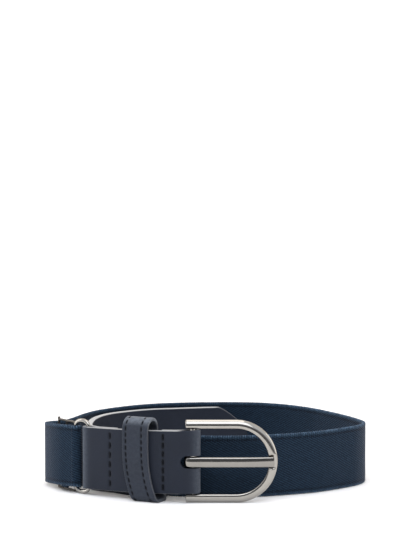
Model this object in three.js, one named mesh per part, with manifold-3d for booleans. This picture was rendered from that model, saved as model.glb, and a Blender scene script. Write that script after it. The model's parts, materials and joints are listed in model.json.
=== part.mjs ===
// Elastic belt standing on its edge and coiled about one and a third turns, not fastened.
// Millimetres. +Z is up, +X runs along the coil's longest side and -Y is the buckle's side.
// The origin is under the middle of the whole belt, on the surface that it stands on.
//
// The coil is laid out in a plan of its own: x is counted from the coil's left end and y from
// the front strand, towards the back. The finished group is moved to the origin at the end.

import * as THREE from 'three';
import { mergeVertices } from 'three/addons/utils/BufferGeometryUtils.js';
import Module from 'manifold-3d';

const wasm = await Module();
wasm.setup();

// Strap sizes
const strapWidth = 30;
const elasticThickness = 1.6;
const tabThickness = 1.6;
const tipThickness = 3;
const keeperThickness = 1.6;
const clearance = 0.3;

// The coil as it stands
const coilLength = 157.2;
const coilDepth = 119.2;
const liftFadeLength = 52;

// Oval ring of wire
const wireDiameter = 2;
const ringLegSpacing = 7.6;
const ringSlack = 2.4;
const ringEndRise = 2.4;
const ringInset = 16.1;
const ringTurn = -34;

// Slide adjuster
const sliderLength = 15.5;
const sliderThickness = 1.8;
const sliderBar = 1.8;
const sliderSlack = 1.6;
const sliderFromRing = 10.5;
const sliderStandOff = 1;
const elasticEndLength = 4;

// Buckle tab
const tabReach = 54.6;
const tabStandOff = 10.1;
const tabReachAngle = -23.5;
const tabAngleAtRing = -33;
const tabAngleAtBar = -4;
const tabTurnInAtRing = 17;
const tabTurnInAtBar = 15.5;
const tabTurnInBlend = 7;
const tabLayerGap = 0.5;

// Buckle frame and prong
const barDiameter = 3.5;
const railWidth = 4.1;
const railThickness = 3.4;
const frameSlack = 1;
const frameReach = 39.9;
const railEndPastBar = 3.4;
const prongWidth = 5;
const prongThickness = 1.7;
const prongDrop = 0.1;
const prongShortOfRail = 1.6;
const prongStraightShare = 0.55;
const prongBendShare = 0.85;
const prongEndShare = 0.7;
const restDepth = 0.8;
const slotLength = 5.8;
const slotHeight = 6.8;

// Keeper loop
const keeperWidth = 13.5;
const keeperDepth = 11.6;
const keeperFrontGap = 0.9;
const keeperHeadroom = 9.6;
const keeperPlace = 0.52;
const keeperLean = 5.2;
const keeperLeanShare = 0.68;
const keeperFootRadius = 3;
const keeperLeanPower = 2.4;

// Tip strap
const tipLength = 171.2;
const jointOverlap = 17;
const tipPointLength = 15.5;
const tipBluntShare = 0.22;
const tipSwellPower = 1.35;
const tipEaseLength = 12;
const holeDiameter = 3.8;
const holeCount = 5;
const holeSpacing = 18;
const holeFromEnd = 42;

// The coil's middle line, from the ring's end of the elastic to the point of the tip strap:
// x as shares of the coil's length from its left end, y as shares of its depth from the front.
const coilRows = [
  { x: 0.051, y: 0.159 },
  { x: 0.019, y: 0.233 },
  { x: 0.0, y: 0.325 },
  { x: 0.017, y: 0.384 },
  { x: 0.05, y: 0.438 },
  { x: 0.077, y: 0.515 },
  { x: 0.109, y: 0.641 },
  { x: 0.155, y: 0.757 },
  { x: 0.315, y: 0.941 },
  { x: 0.557, y: 1.0 },
  { x: 0.712, y: 0.967 },
  { x: 0.83, y: 0.842 },
  { x: 0.912, y: 0.676 },
  { x: 0.976, y: 0.503 },
  { x: 1.0, y: 0.385 },
  { x: 0.975, y: 0.293 },
  { x: 0.921, y: 0.214 },
  { x: 0.832, y: 0.116 },
  { x: 0.69, y: 0.032 },
  { x: 0.604, y: 0.005 },
  { x: 0.5, y: 0.004 },
  { x: 0.37, y: 0.041 },
  { x: 0.232, y: 0.122 },
  { x: 0.168, y: 0.197 },
  { x: 0.138, y: 0.29 },
  { x: 0.136, y: 0.39 },
  { x: 0.144, y: 0.486 },
  { x: 0.165, y: 0.575 },
  { x: 0.203, y: 0.653 },
  { x: 0.314, y: 0.761 },
  { x: 0.395, y: 0.789 },
  { x: 0.516, y: 0.826 },
  { x: 0.638, y: 0.838 },
];
const rightEndRow = 14;

// How finely round and bent shapes are stepped
const coilStep = 3;
const lookupStep = 0.2;
const foldLayerStep = 1.5;
const foldSteps = 9;
const pointSteps = 12;
const horseshoeSteps = 24;
const keeperOutlineSteps = 64;
const railSides = 14;
const barSides = 16;
const wireSides = 10;
const ringSteps = 36;
const holeSides = 20;
const arcSteps = 12;

// Colours and finishes
const NAVY_ELASTIC = { color: 0x28323c, roughness: 0.92, metalness: 0 };
const NAVY_LEATHER = { color: 0x373c46, roughness: 0.6, metalness: 0 };
const SATIN_NICKEL = { color: 0xbdb8b0, roughness: 0.32, metalness: 1 };

// Heights that the sizes above settle
const ringHeight = strapWidth + 2 * wireDiameter + ringSlack;
const frameHeight = strapWidth + 2 * railWidth + frameSlack;
const sliderHeight = strapWidth + 2 * sliderBar + sliderSlack;
const keeperHeight = strapWidth + keeperHeadroom;
const liftAtRing = wireDiameter / 2 + ringEndRise - clearance;
const liftAtBar = railWidth + frameSlack / 2;

const radians = THREE.MathUtils.degToRad;

function heading(degrees) {
  return new THREE.Vector2(Math.cos(radians(degrees)), Math.sin(radians(degrees)));
}

function leftOf(direction) {
  return new THREE.Vector2(-direction.y, direction.x);
}

// A point moved by a distance to the left of a direction; a negative distance is to its right.
function beside(point, direction, distance) {
  return point.clone().addScaledVector(leftOf(direction), distance);
}

// Unit directions along a row of plan points, each one between its two neighbours.
function directions(points) {
  return points.map((point, i) => {
    const before = points[Math.max(i - 1, 0)];
    const after = points[Math.min(i + 1, points.length - 1)];
    return after.clone().sub(before).normalize();
  });
}

// Distance run along a row of plan points, up to each of them.
function distances(points) {
  const run = [0];
  for (let i = 1; i < points.length; i += 1) {
    run.push(run[i - 1] + points[i].distanceTo(points[i - 1]));
  }
  return run;
}

// A fold round an upright bar: plan points on an arc from one heading to another, turning
// left (+1) or right (-1), with the strap's middle line at the given radius.
function foldRound(centre, radius, headingIn, headingOut, turn) {
  const start = headingIn.angle();
  let sweep = headingOut.angle() - start;
  if (sweep * turn < 0) {
    sweep += turn * 2 * Math.PI;
  }
  const points = [];
  for (let i = 0; i <= foldSteps; i += 1) {
    const angle = start + (sweep * i) / foldSteps;
    const direction = new THREE.Vector2(Math.cos(angle), Math.sin(angle));
    points.push(beside(centre, direction, -turn * radius));
  }
  return points;
}

// Plan points at even steps along a smooth curve through the given ones.
function smoothLine(points, step) {
  const spatial = points.map((point) => new THREE.Vector3(point.x, point.y, 0));
  const curve = new THREE.CatmullRomCurve3(spatial, false, 'centripetal');
  const count = Math.round(curve.getLength() / step);
  return curve.getSpacedPoints(count).map((point) => new THREE.Vector2(point.x, point.y));
}

// Moves every vertex of a geometry to where place(x, y, z) says.
function bend(geometry, place) {
  const position = geometry.getAttribute('position');
  for (let i = 0; i < position.count; i += 1) {
    const moved = place(position.getX(i), position.getY(i), position.getZ(i));
    position.setXYZ(i, moved.x, moved.y, moved.z);
  }
  geometry.computeVertexNormals();
  return geometry;
}

// A strap standing on its edge: a long box, bent so that its middle line follows the plan
// points. lift is how high the lower edge stands at a point, and share how much of the width
// is left there.
function strap(line, thickness, width, lift, share = () => 1) {
  const steps = line.length - 1;
  const aim = directions(line);
  const box = new THREE.BoxGeometry(steps, thickness, width, steps, 1, 1);
  return bend(box, (x, y, z) => {
    const i = Math.round(x + steps / 2);
    const at = beside(line[i], aim[i], y);
    return new THREE.Vector3(at.x, at.y, lift(i) + width / 2 + z * share(i));
  });
}

// A rod bent along points in the upright plane y = 0, with an oval section: across lies in
// that plane and deep is along y.
function bentRod(points, across, deep, sides) {
  const steps = points.length - 1;
  const aim = directions(points);
  const rod = new THREE.CylinderGeometry(0.5, 0.5, steps, sides, steps);
  rod.rotateZ(-Math.PI / 2);
  return bend(rod, (x, y, z) => {
    const i = Math.round(x + steps / 2);
    const at = beside(points[i], aim[i], y * across);
    return new THREE.Vector3(at.x, -z * deep, at.y);
  });
}

function solid(geometry) {
  const bare = geometry.clone();
  bare.deleteAttribute('normal');
  bare.deleteAttribute('uv');
  const merged = mergeVertices(bare, 1e-4);
  const vertProperties = new Float32Array(merged.getAttribute('position').array);
  const triVerts = new Uint32Array(merged.getIndex().array);
  return new wasm.Manifold(new wasm.Mesh({ numProp: 3, vertProperties, triVerts }));
}

function toGeometry(body) {
  const mesh = body.getMesh();
  const geometry = new THREE.BufferGeometry();
  geometry.setAttribute('position', new THREE.BufferAttribute(mesh.vertProperties, 3));
  geometry.setIndex(new THREE.BufferAttribute(mesh.triVerts, 1));
  geometry.computeVertexNormals();
  return geometry;
}

function joined(geometries) {
  return toGeometry(geometries.map(solid).reduce((whole, next) => whole.add(next)));
}

function cut(geometry, cutters) {
  return toGeometry(cutters.map(solid).reduce((whole, next) => whole.subtract(next), solid(geometry)));
}

function piece(name, geometry, finish) {
  const mesh = new THREE.Mesh(geometry, new THREE.MeshStandardMaterial(finish));
  mesh.name = name;
  return mesh;
}

function coilPoint(row) {
  return new THREE.Vector2(row.x * coilLength, row.y * coilDepth);
}

// How far back the front strand's middle line is, at a distance from the coil's left end.
function frontStrandY(x) {
  const strand = smoothLine(coilRows.slice(rightEndRow).map(coilPoint), lookupStep);
  return strand.find((point) => point.x <= x).y;
}

// The ring stands as far back as puts the tab's middle its stand-off before the front strand.
function ringSetBack() {
  const toTabMiddle = heading(ringTurn).multiplyScalar(ringLegSpacing);
  toTabMiddle.addScaledVector(heading(tabReachAngle), tabReach / 2);
  return frontStrandY(ringInset + toTabMiddle.x) - tabStandOff - toTabMiddle.y;
}

// Places in the plan. The left leg of the ring holds the elastic and its right leg the tab.
const ringAim = heading(ringTurn);
const ringLeft = new THREE.Vector2(ringInset, ringSetBack());
const ringRight = ringLeft.clone().addScaledVector(ringAim, ringLegSpacing);
const barCentre = ringRight.clone().addScaledVector(heading(tabReachAngle), tabReach);

const elasticFoldRadius = wireDiameter / 2 + clearance + elasticThickness / 2;
const tabRingFoldRadius = wireDiameter / 2 + clearance + tabThickness / 2;
const tabBarFoldRadius = barDiameter / 2 + clearance + tabThickness / 2;

// The coil's middle line starts beside the ring's left leg, on the outer side.
function makeCoilLine() {
  const first = coilPoint(coilRows[0]);
  const away = first.clone().sub(ringLeft).normalize();
  const start = beside(ringLeft, away, elasticFoldRadius);
  return smoothLine([start, ...coilRows.map(coilPoint)], coilStep);
}

const coilLine = makeCoilLine();
const coilAim = directions(coilLine);
const coilRun = distances(coilLine);
const coilTotal = coilRun.at(-1);

// Index of the coil point nearest to a distance from the ring.
function coilIndex(distance) {
  return coilRun.findIndex((run) => run >= distance);
}

// The coil's point and direction at a distance from the ring.
function coilPlace(distance) {
  const i = coilIndex(distance);
  const share = (distance - coilRun[i - 1]) / (coilRun[i] - coilRun[i - 1]);
  return {
    point: coilLine[i - 1].clone().lerp(coilLine[i], share),
    aim: coilAim[i - 1].clone().lerp(coilAim[i], share).normalize(),
  };
}

const tipStart = coilIndex(coilTotal - tipLength);
const jointEnd = coilIndex(coilRun[tipStart] + jointOverlap);

// The slide adjuster lies inside the elastic, with room for the elastic's folded end between.
const sliderPlace = coilPlace(sliderFromRing);
const sliderAim = sliderPlace.aim;
const foldedEndRoom = elasticThickness + sliderStandOff + clearance;
const sliderInset = elasticThickness / 2 + foldedEndRoom + sliderThickness / 2;
const sliderCentre = beside(sliderPlace.point, sliderAim, -sliderInset);

// The elastic's middle line: its folded end, round the slider's middle bar, back to the ring,
// round the ring's left leg and on round the coil.
function makeElasticLine() {
  const back = sliderAim.clone().negate();
  const barFold = Math.hypot(sliderBar, sliderThickness) / 2 + clearance + elasticThickness / 2;
  const roundSlider = foldRound(sliderCentre, barFold, sliderAim, back, -1);
  const endPoint = roundSlider[0].clone().addScaledVector(back, elasticEndLength);
  const pastNearBar = roundSlider.at(-1).clone().addScaledVector(back, sliderLength / 2);
  const roundRing = foldRound(ringLeft, elasticFoldRadius, back, coilAim[0], -1);
  const toRing = smoothLine([pastNearBar, roundRing[0]], foldLayerStep).slice(1, -1);
  return [endPoint, ...roundSlider, pastNearBar, ...toRing, ...roundRing.slice(0, -1)];
}

// The elastic stands off the surface at the ring, which holds it up, and comes down to it.
function coilLift(run) {
  const share = Math.min(run / liftFadeLength, 1);
  return liftAtRing * (0.5 + 0.5 * Math.cos(Math.PI * share));
}

function elasticStrap() {
  const folded = makeElasticLine();
  const line = [...folded, ...coilLine.slice(0, jointEnd + 1)];
  const lift = (i) => (i < folded.length ? liftAtRing : coilLift(coilRun[i - folded.length]));
  return strap(line, elasticThickness, strapWidth, lift);
}

// The tip strap lies outside the elastic's end where they are sewn together, then comes in to
// the coil's line. It ends in a point with rounded corners.
function tipStrap() {
  const sideways = elasticThickness / 2 + clearance + tipThickness / 2;
  const indices = [...coilLine.keys()].slice(tipStart);
  const line = indices.map((i) => {
    const past = (coilRun[i] - coilRun[jointEnd]) / tipEaseLength;
    const eased = THREE.MathUtils.smoothstep(past, 0, 1);
    return beside(coilLine[i], coilAim[i], sideways * (1 - eased));
  });
  const pointed = [...line.slice(0, -1), ...pointStations(line)];
  const run = distances(pointed);
  const total = run[run.length - 1];
  const share = (i) => pointShare((total - run[i]) / tipPointLength);
  const plain = strap(pointed, tipThickness, strapWidth, () => 0, share);
  return cut(plain, tipHoles(pointed));
}

// Extra plan points inside the strap's last straight stretch, for the outline of the point.
function pointStations(line) {
  const end = line[line.length - 1];
  const back = end.clone().sub(line[line.length - 2]).normalize().multiplyScalar(-coilStep);
  const points = [];
  for (let i = 1; i <= pointSteps; i += 1) {
    points.push(end.clone().addScaledVector(back, 1 - i / pointSteps));
  }
  return points;
}

// Share of the strap's width that is left at a distance from its end, given as a share of the
// point's length: blunt at the end and easing into the full width.
function pointShare(distance) {
  const along = THREE.MathUtils.clamp(distance, 0, 1);
  const swell = 1 - (1 - along) ** tipSwellPower;
  return tipBluntShare + (1 - tipBluntShare) * swell;
}

// Cutters for the row of round holes that the prong goes through.
function tipHoles(line) {
  const run = distances(line);
  const aim = directions(line);
  const total = run[run.length - 1];
  const cutters = [];
  for (let n = 0; n < holeCount; n += 1) {
    const i = run.findIndex((value) => value >= total - holeFromEnd - n * holeSpacing);
    const radius = holeDiameter / 2;
    const cutter = new THREE.CylinderGeometry(radius, radius, tipThickness * 3, holeSides);
    cutter.rotateZ(aim[i].angle());
    cutter.translate(line[i].x, line[i].y, strapWidth / 2);
    cutters.push(cutter);
  }
  return cutters;
}

// The tab's outer layer, from beside the ring's right leg to beside the buckle's bar.
const tabStartAim = heading(tabAngleAtRing);
const tabEndAim = heading(tabAngleAtBar);
const tabStart = beside(ringRight, tabStartAim, -tabRingFoldRadius);
const tabEnd = beside(barCentre, tabEndAim, -tabBarFoldRadius);
const tabCurve = new THREE.CubicBezierCurve(
  tabStart,
  tabStart.clone().addScaledVector(tabStartAim, tabReach / 3),
  tabEnd.clone().addScaledVector(tabEndAim, -tabReach / 3),
  tabEnd,
);

// One turned-in end of the tab: plan points behind the outer layer, from the fold inwards. It
// leaves the fold at the fold's width and closes on the outer layer.
function tabTurnIn(outer, foldRadius, length) {
  const aim = directions(outer);
  const run = distances(outer);
  const closed = tabThickness + tabLayerGap;
  const count = run.findIndex((value) => value >= length);
  return outer.slice(0, count + 1).map((point, i) => {
    const eased = THREE.MathUtils.smoothstep(run[i], 0, tabTurnInBlend);
    const apart = 2 * foldRadius + (closed - 2 * foldRadius) * eased;
    return { point, aim: aim[i], apart };
  });
}

function tabLine() {
  const outer = tabCurve.getSpacedPoints(Math.round(tabReach / foldLayerStep));
  const backwards = [...outer].reverse();
  const atRing = tabTurnIn(outer, tabRingFoldRadius, tabTurnInAtRing)
    .map((row) => beside(row.point, row.aim, row.apart));
  const atBar = tabTurnIn(backwards, tabBarFoldRadius, tabTurnInAtBar)
    .map((row) => beside(row.point, row.aim, -row.apart));
  const awayFromBar = tabStartAim.clone().negate();
  const backFromBar = tabEndAim.clone().negate();
  const roundRing = foldRound(ringRight, tabRingFoldRadius, awayFromBar, tabStartAim, 1);
  const roundBar = foldRound(barCentre, tabBarFoldRadius, tabEndAim, backFromBar, 1);
  return [
    ...atRing.reverse().slice(0, -1),
    ...roundRing,
    ...outer.slice(1, -1),
    ...roundBar,
    ...atBar.slice(1),
  ];
}

// The tab climbs from the ring, where it stands on the wire, to the buckle's bar.
function tabLift(point) {
  const share = (point.x - ringRight.x) / (barCentre.x - ringRight.x);
  return THREE.MathUtils.lerp(liftAtRing, liftAtBar, THREE.MathUtils.clamp(share, 0, 1));
}

const frameMiddle = frameHeight / 2;
const slotMiddle = frameMiddle - prongDrop / 2;

// Cutter for the slot that lets the prong through the fold: a bar with a round left end.
function slotCutter() {
  const reach = slotLength + tabBarFoldRadius + tabThickness;
  const depth = 4 * (tabBarFoldRadius + tabThickness);
  const radius = slotHeight / 2;
  const outline = new THREE.Shape();
  outline.moveTo(reach, -radius);
  outline.lineTo(reach, radius);
  outline.lineTo(radius, radius);
  outline.absarc(radius, 0, radius, Math.PI / 2, (3 * Math.PI) / 2, false);
  outline.closePath();
  const cutter = new THREE.ExtrudeGeometry(outline, {
    depth,
    bevelEnabled: false,
    curveSegments: arcSteps,
  });
  cutter.rotateX(Math.PI / 2);
  cutter.translate(barCentre.x - slotLength, barCentre.y + depth / 2, slotMiddle);
  return cutter;
}

function buckleTab() {
  const line = tabLine();
  const plain = strap(line, tabThickness, strapWidth, (i) => tabLift(line[i]));
  return cut(plain, [slotCutter()]);
}

// Side outline of the keeper, centred on zero: a round arch on top, and a flatter foot with
// rounded corners. The points are evenly spaced.
function keeperOutline(depth, height, footRadius) {
  const half = depth / 2;
  const archY = height / 2 - half;
  const footX = half - footRadius;
  const footY = footRadius - height / 2;
  const outline = new THREE.Path();
  outline.moveTo(half, 0);
  outline.lineTo(half, archY);
  outline.absarc(0, archY, half, 0, Math.PI, false);
  outline.lineTo(-half, footY);
  outline.absarc(-footX, footY, footRadius, Math.PI, 1.5 * Math.PI, false);
  outline.lineTo(footX, -height / 2);
  outline.absarc(footX, footY, footRadius, 1.5 * Math.PI, 2 * Math.PI, false);
  outline.closePath();
  return outline.getSpacedPoints(keeperOutlineSteps).slice(0, -1);
}

// A loop of leather round the tab. Its lower part leans along the strap, more and more towards
// the foot.
function keeperLoop() {
  const wall = 2 * keeperThickness;
  const outline = new THREE.Shape(keeperOutline(keeperDepth, keeperHeight, keeperFootRadius));
  const inside = keeperOutline(keeperDepth - wall, keeperHeight - wall, keeperFootRadius / 2);
  outline.holes.push(new THREE.Path(inside));
  const loop = new THREE.ExtrudeGeometry(outline, { depth: keeperWidth, bevelEnabled: false });
  const at = tabCurve.getPointAt(keeperPlace);
  const aim = tabCurve.getTangentAt(keeperPlace);
  const behind = keeperDepth / 2 - keeperThickness - keeperFrontGap - tabThickness / 2;
  const centre = beside(at, aim, behind);
  return bend(loop, (x, y, z) => {
    const height = keeperHeight / 2 + y;
    const below = 1 - height / (keeperHeight * keeperLeanShare);
    const lean = keeperLean * Math.max(below, 0) ** keeperLeanPower;
    const along = centre.clone().addScaledVector(aim, z - keeperWidth / 2 + lean);
    const placed = beside(along, aim, x);
    return new THREE.Vector3(placed.x, placed.y, height);
  });
}

// A ring of wire whose middle line is two straight legs joined by half ovals.
function ovalRing() {
  const across = ringLegSpacing / 2;
  const straight = (ringHeight - wireDiameter) / 2 - ringEndRise;
  const ring = new THREE.TorusGeometry(across, wireDiameter / 2, wireSides, ringSteps);
  const middle = ringLeft.clone().add(ringRight).multiplyScalar(0.5);
  return bend(ring, (x, y, z) => {
    const distance = Math.hypot(x, y);
    const round = new THREE.Vector2(x, y).divideScalar(distance);
    const outward = new THREE.Vector2(round.x / across, round.y / ringEndRise).normalize();
    const oval = new THREE.Vector2(round.x * across, round.y * ringEndRise);
    oval.addScaledVector(outward, distance - across);
    const placed = beside(middle.clone().addScaledVector(ringAim, oval.x), ringAim, -z);
    const up = y > -clearance ? straight : -straight;
    return new THREE.Vector3(placed.x, placed.y, ringHeight / 2 + oval.y + up);
  });
}

// Three upright bars between two rails, in one flat piece.
function slideAdjuster() {
  const barOffsets = [-1, 0, 1].map((side) => (side * (sliderLength - sliderBar)) / 2);
  const bars = barOffsets.map((offset) => {
    const bar = new THREE.BoxGeometry(sliderBar, sliderThickness, sliderHeight);
    return bar.translate(offset, 0, sliderHeight / 2);
  });
  const rails = [sliderBar / 2, sliderHeight - sliderBar / 2].map((height) => {
    const rail = new THREE.BoxGeometry(sliderLength, sliderThickness, sliderBar);
    return rail.translate(0, 0, height);
  });
  const flat = joined([...bars, ...rails]);
  flat.rotateZ(sliderAim.angle());
  return flat.translate(sliderCentre.x, sliderCentre.y, 0);
}

// The buckle is made about its bar, which is then stood at the bar's place in the plan.
function placeAtBar(geometry) {
  return geometry.translate(barCentre.x, barCentre.y, 0);
}

// Middle line of the horseshoe, in the upright plane: top rail, round end and bottom rail.
function horseshoe() {
  const radius = (frameHeight - railWidth) / 2;
  const arcCentre = new THREE.Vector2(frameReach - railWidth / 2 - radius, frameMiddle);
  const points = [new THREE.Vector2(-railEndPastBar, frameMiddle - radius)];
  points.push(new THREE.Vector2(0, frameMiddle - radius));
  for (let i = 0; i <= horseshoeSteps; i += 1) {
    const aim = heading(-90 + (180 * i) / horseshoeSteps);
    points.push(arcCentre.clone().addScaledVector(aim, radius));
  }
  points.push(new THREE.Vector2(0, frameMiddle + radius));
  points.push(new THREE.Vector2(-railEndPastBar, frameMiddle + radius));
  return points;
}

function buckleFrame() {
  const rails = bentRod(horseshoe(), railWidth, railThickness, railSides);
  const barLength = frameHeight - railWidth;
  const bar = new THREE.CylinderGeometry(barDiameter / 2, barDiameter / 2, barLength, barSides);
  bar.rotateX(Math.PI / 2);
  bar.translate(0, 0, frameMiddle);
  const restHeight = prongWidth + 2 * clearance;
  const rest = new THREE.BoxGeometry(railWidth * 2, railThickness, restHeight);
  rest.translate(frameReach - railWidth / 2, -railThickness + restDepth, frameMiddle - prongDrop);
  return placeAtBar(cut(joined([rails, bar]), [rest]));
}

// A flat prong with an eye round the bar; its end bends in to lie in the rail's rest.
function prong() {
  const inner = barDiameter / 2 + clearance;
  const outer = inner + prongThickness;
  const tip = frameReach - prongShortOfRail;
  const floor = railThickness / 2 - restDepth + clearance;
  const bendStart = tip * prongStraightShare;
  const bendMiddle = tip * prongBendShare;
  const outline = new THREE.Shape();
  outline.moveTo(0, -outer);
  outline.lineTo(bendStart, -outer);
  outline.quadraticCurveTo(bendMiddle, -outer, tip, -floor - prongThickness * prongEndShare);
  outline.lineTo(tip, -floor);
  outline.quadraticCurveTo(bendMiddle, -inner, bendStart, -inner);
  outline.lineTo(Math.sqrt(outer ** 2 - inner ** 2), -inner);
  outline.absarc(0, 0, outer, -Math.asin(inner / outer), -Math.PI / 2, false);
  const eye = new THREE.Path();
  eye.absarc(0, 0, inner, 0, 2 * Math.PI, true);
  outline.holes.push(eye);
  const body = new THREE.ExtrudeGeometry(outline, {
    depth: prongWidth,
    bevelEnabled: false,
    curveSegments: arcSteps,
  });
  body.translate(0, 0, frameMiddle - prongDrop - prongWidth / 2);
  return placeAtBar(body);
}

const belt = new THREE.Group();
belt.add(
  piece('buckle_frame', buckleFrame(), SATIN_NICKEL),
  piece('prong', prong(), SATIN_NICKEL),
  piece('buckle_tab', buckleTab(), NAVY_LEATHER),
  piece('keeper_loop', keeperLoop(), NAVY_LEATHER),
  piece('oval_ring', ovalRing(), SATIN_NICKEL),
  piece('slide_adjuster', slideAdjuster(), SATIN_NICKEL),
  piece('elastic_strap', elasticStrap(), NAVY_ELASTIC),
  piece('tip_strap', tipStrap(), NAVY_LEATHER),
);

// The belt's middle goes over the origin.
const bounds = new THREE.Box3().setFromObject(belt);
const middle = bounds.getCenter(new THREE.Vector3());
belt.position.set(-middle.x, -middle.y, -bounds.min.z);

const group = new THREE.Group();
group.add(belt);

export default group;
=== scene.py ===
# %% [markdown]
# # A child's elastic belt, standing coiled on its edge
#
# The belt is a length of woven elastic with leather at both ends. One end carries a nickel
# buckle with a prong, the other ends in a point. A packed construction model gives every
# piece its place and size. This script keeps those places and gives each piece its real
# surface: weave, grain, stitches and metal.
#
# All shapes are worked out in millimetres, because that is how straps and wire are sold, and
# are turned into metres at the moment a mesh is made.

import json
import math

import bmesh
import bpy
import numpy as np
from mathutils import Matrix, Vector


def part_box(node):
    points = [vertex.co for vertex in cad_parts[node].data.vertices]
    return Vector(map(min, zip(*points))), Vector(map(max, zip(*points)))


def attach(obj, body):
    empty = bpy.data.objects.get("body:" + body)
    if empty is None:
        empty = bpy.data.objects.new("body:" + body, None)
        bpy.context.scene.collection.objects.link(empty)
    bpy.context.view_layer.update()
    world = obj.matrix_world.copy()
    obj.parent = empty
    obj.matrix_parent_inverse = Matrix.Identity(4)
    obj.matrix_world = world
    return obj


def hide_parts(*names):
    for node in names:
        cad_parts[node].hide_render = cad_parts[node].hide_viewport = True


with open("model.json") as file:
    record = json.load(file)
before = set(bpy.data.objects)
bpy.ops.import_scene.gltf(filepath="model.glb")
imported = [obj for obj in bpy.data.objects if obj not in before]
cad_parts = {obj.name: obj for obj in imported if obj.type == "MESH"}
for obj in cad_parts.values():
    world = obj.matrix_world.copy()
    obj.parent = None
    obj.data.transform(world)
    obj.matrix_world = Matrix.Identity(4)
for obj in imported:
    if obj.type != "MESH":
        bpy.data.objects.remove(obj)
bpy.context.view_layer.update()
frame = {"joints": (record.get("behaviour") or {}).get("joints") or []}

MM = 0.001
STRAP_WIDTH = 30.0
CLEARANCE = 0.3


def box_mm(node):
    """Lowest and highest corner of a construction node, in millimetres."""
    low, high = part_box(node)
    return np.array(low) / MM, np.array(high) / MM


# %% [markdown]
# ## The camera
#
# A photograph of a small product is usually taken with a long lens from about a metre away, a
# little above the table. The lens is worked out from the scale of the picture: how many
# pixels one millimetre takes at the distance of the front of the belt. The camera is turned
# down a little, less than the belt is below it, so the belt lies low in the picture.

# %% Place the camera
PICTURE_ROWS = 536
SENSOR_LONG_SIDE = 36.0
PIXELS_PER_MM = 2.102
EYE_DISTANCE = 1000.0
EYE_HEIGHT = 181.7
EYE_SIDE = -0.38
FRONT_STRAND_Y = -52.14
LOOK_DOWN = math.radians(4.114)

belt_below_eye = EYE_HEIGHT - STRAP_WIDTH / 2
distance_along_view = EYE_DISTANCE * math.cos(LOOK_DOWN) + belt_below_eye * math.sin(LOOK_DOWN)
focal_pixels = PIXELS_PER_MM * distance_along_view

camera_data = bpy.data.cameras.new("camera")
camera_data.sensor_width = SENSOR_LONG_SIDE
camera_data.lens = SENSOR_LONG_SIDE * focal_pixels / PICTURE_ROWS
camera = bpy.data.objects.new("camera", camera_data)
camera.location = (EYE_SIDE * MM, (FRONT_STRAND_Y - EYE_DISTANCE) * MM, EYE_HEIGHT * MM)
camera.rotation_euler = (math.pi / 2 - LOOK_DOWN, 0, 0)
bpy.context.scene.collection.objects.link(camera)
bpy.context.scene.camera = camera
print(f"lens {camera_data.lens:.1f} mm, {distance_along_view:.0f} mm from the belt")


# %% [markdown]
# ## Two small tools for materials
#
# Colours are written as the hex values that a colour picker shows, which are sRGB, while the
# shader wants linear light, so one function turns the one into the other. A second function
# adds a node to a tree with its settings and whatever goes into its sockets, which keeps each
# material below short enough to read as a recipe.

# %% Colour and node helpers
def linear(hex_value, alpha=1.0):
    """sRGB to linear: c / 12.92 below 0.04045, else ((c + 0.055) / 1.055) to the power 2.4."""
    channels = np.array([int(hex_value[i:i + 2], 16) for i in (1, 3, 5)]) / 255
    low = channels / 12.92
    high = ((channels + 0.055) / 1.055) ** 2.4
    return (*np.where(channels < 0.04045, low, high).tolist(), alpha)


def add(tree, kind, into=None, **settings):
    """Adds one node. into gives sockets a value, another node (its first output) or a socket."""
    node = tree.nodes.new(kind)
    for name, value in settings.items():
        setattr(node, name, value)
    for key, value in (into or {}).items():
        if isinstance(value, bpy.types.Node):
            value = value.outputs[0]
        if isinstance(value, bpy.types.NodeSocket):
            tree.links.new(value, node.inputs[key])
        else:
            node.inputs[key].default_value = value
    return node


def new_material(name):
    """A new material whose node tree is empty, and that tree."""
    material = bpy.data.materials.new(name)
    material.use_nodes = True
    material.node_tree.nodes.clear()
    return material, material.node_tree


# %% [markdown]
# ## The table and the light
#
# The belt stands on plain white paper in soft light that comes from everywhere, with a large
# softbox in front, one above and a narrower one at each side. Metal shows what stands round
# it, so the surroundings are not one flat white. They are bright above and behind, and much
# darker low down on the camera's side, as a room is where a small thing is photographed. The
# camera itself sees plain white behind.

# %% Floor
FLOOR_SIZE = 6.0
paper, tree = new_material("matt white paper")
fibres = add(tree, "ShaderNodeTexNoise", {"Scale": 900.0, "Detail": 4.0})
paper_tone = add(tree, "ShaderNodeMix", {0: fibres, 6: linear("#f6f6f6"), 7: linear("#fbfbfb")},
                 data_type="RGBA")
paper_shader = add(tree, "ShaderNodeBsdfPrincipled", {
    "Base Color": paper_tone.outputs[2],
    "Roughness": 0.85,
    "Specular IOR Level": 0.2,
})
add(tree, "ShaderNodeOutputMaterial", {"Surface": paper_shader})

half = FLOOR_SIZE / 2
floor_mesh = bpy.data.meshes.new("floor")
floor_mesh.from_pydata([(-half, -half, 0), (half, -half, 0), (half, half, 0), (-half, half, 0)],
                       [], [(0, 1, 2, 3)])
floor_mesh.materials.append(paper)
floor = bpy.data.objects.new("floor", floor_mesh)
floor.location.z = -0.05 * MM
bpy.context.scene.collection.objects.link(floor)

# %% Light
ROOM_SIDE = 0.2
PAPER_SIDE = 1.25
ROOM_UP_TO = -0.25
PAPER_FROM = 0.2
SEEN_BACKGROUND = 1.15
BACK_COUNTS = 0.55

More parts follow.
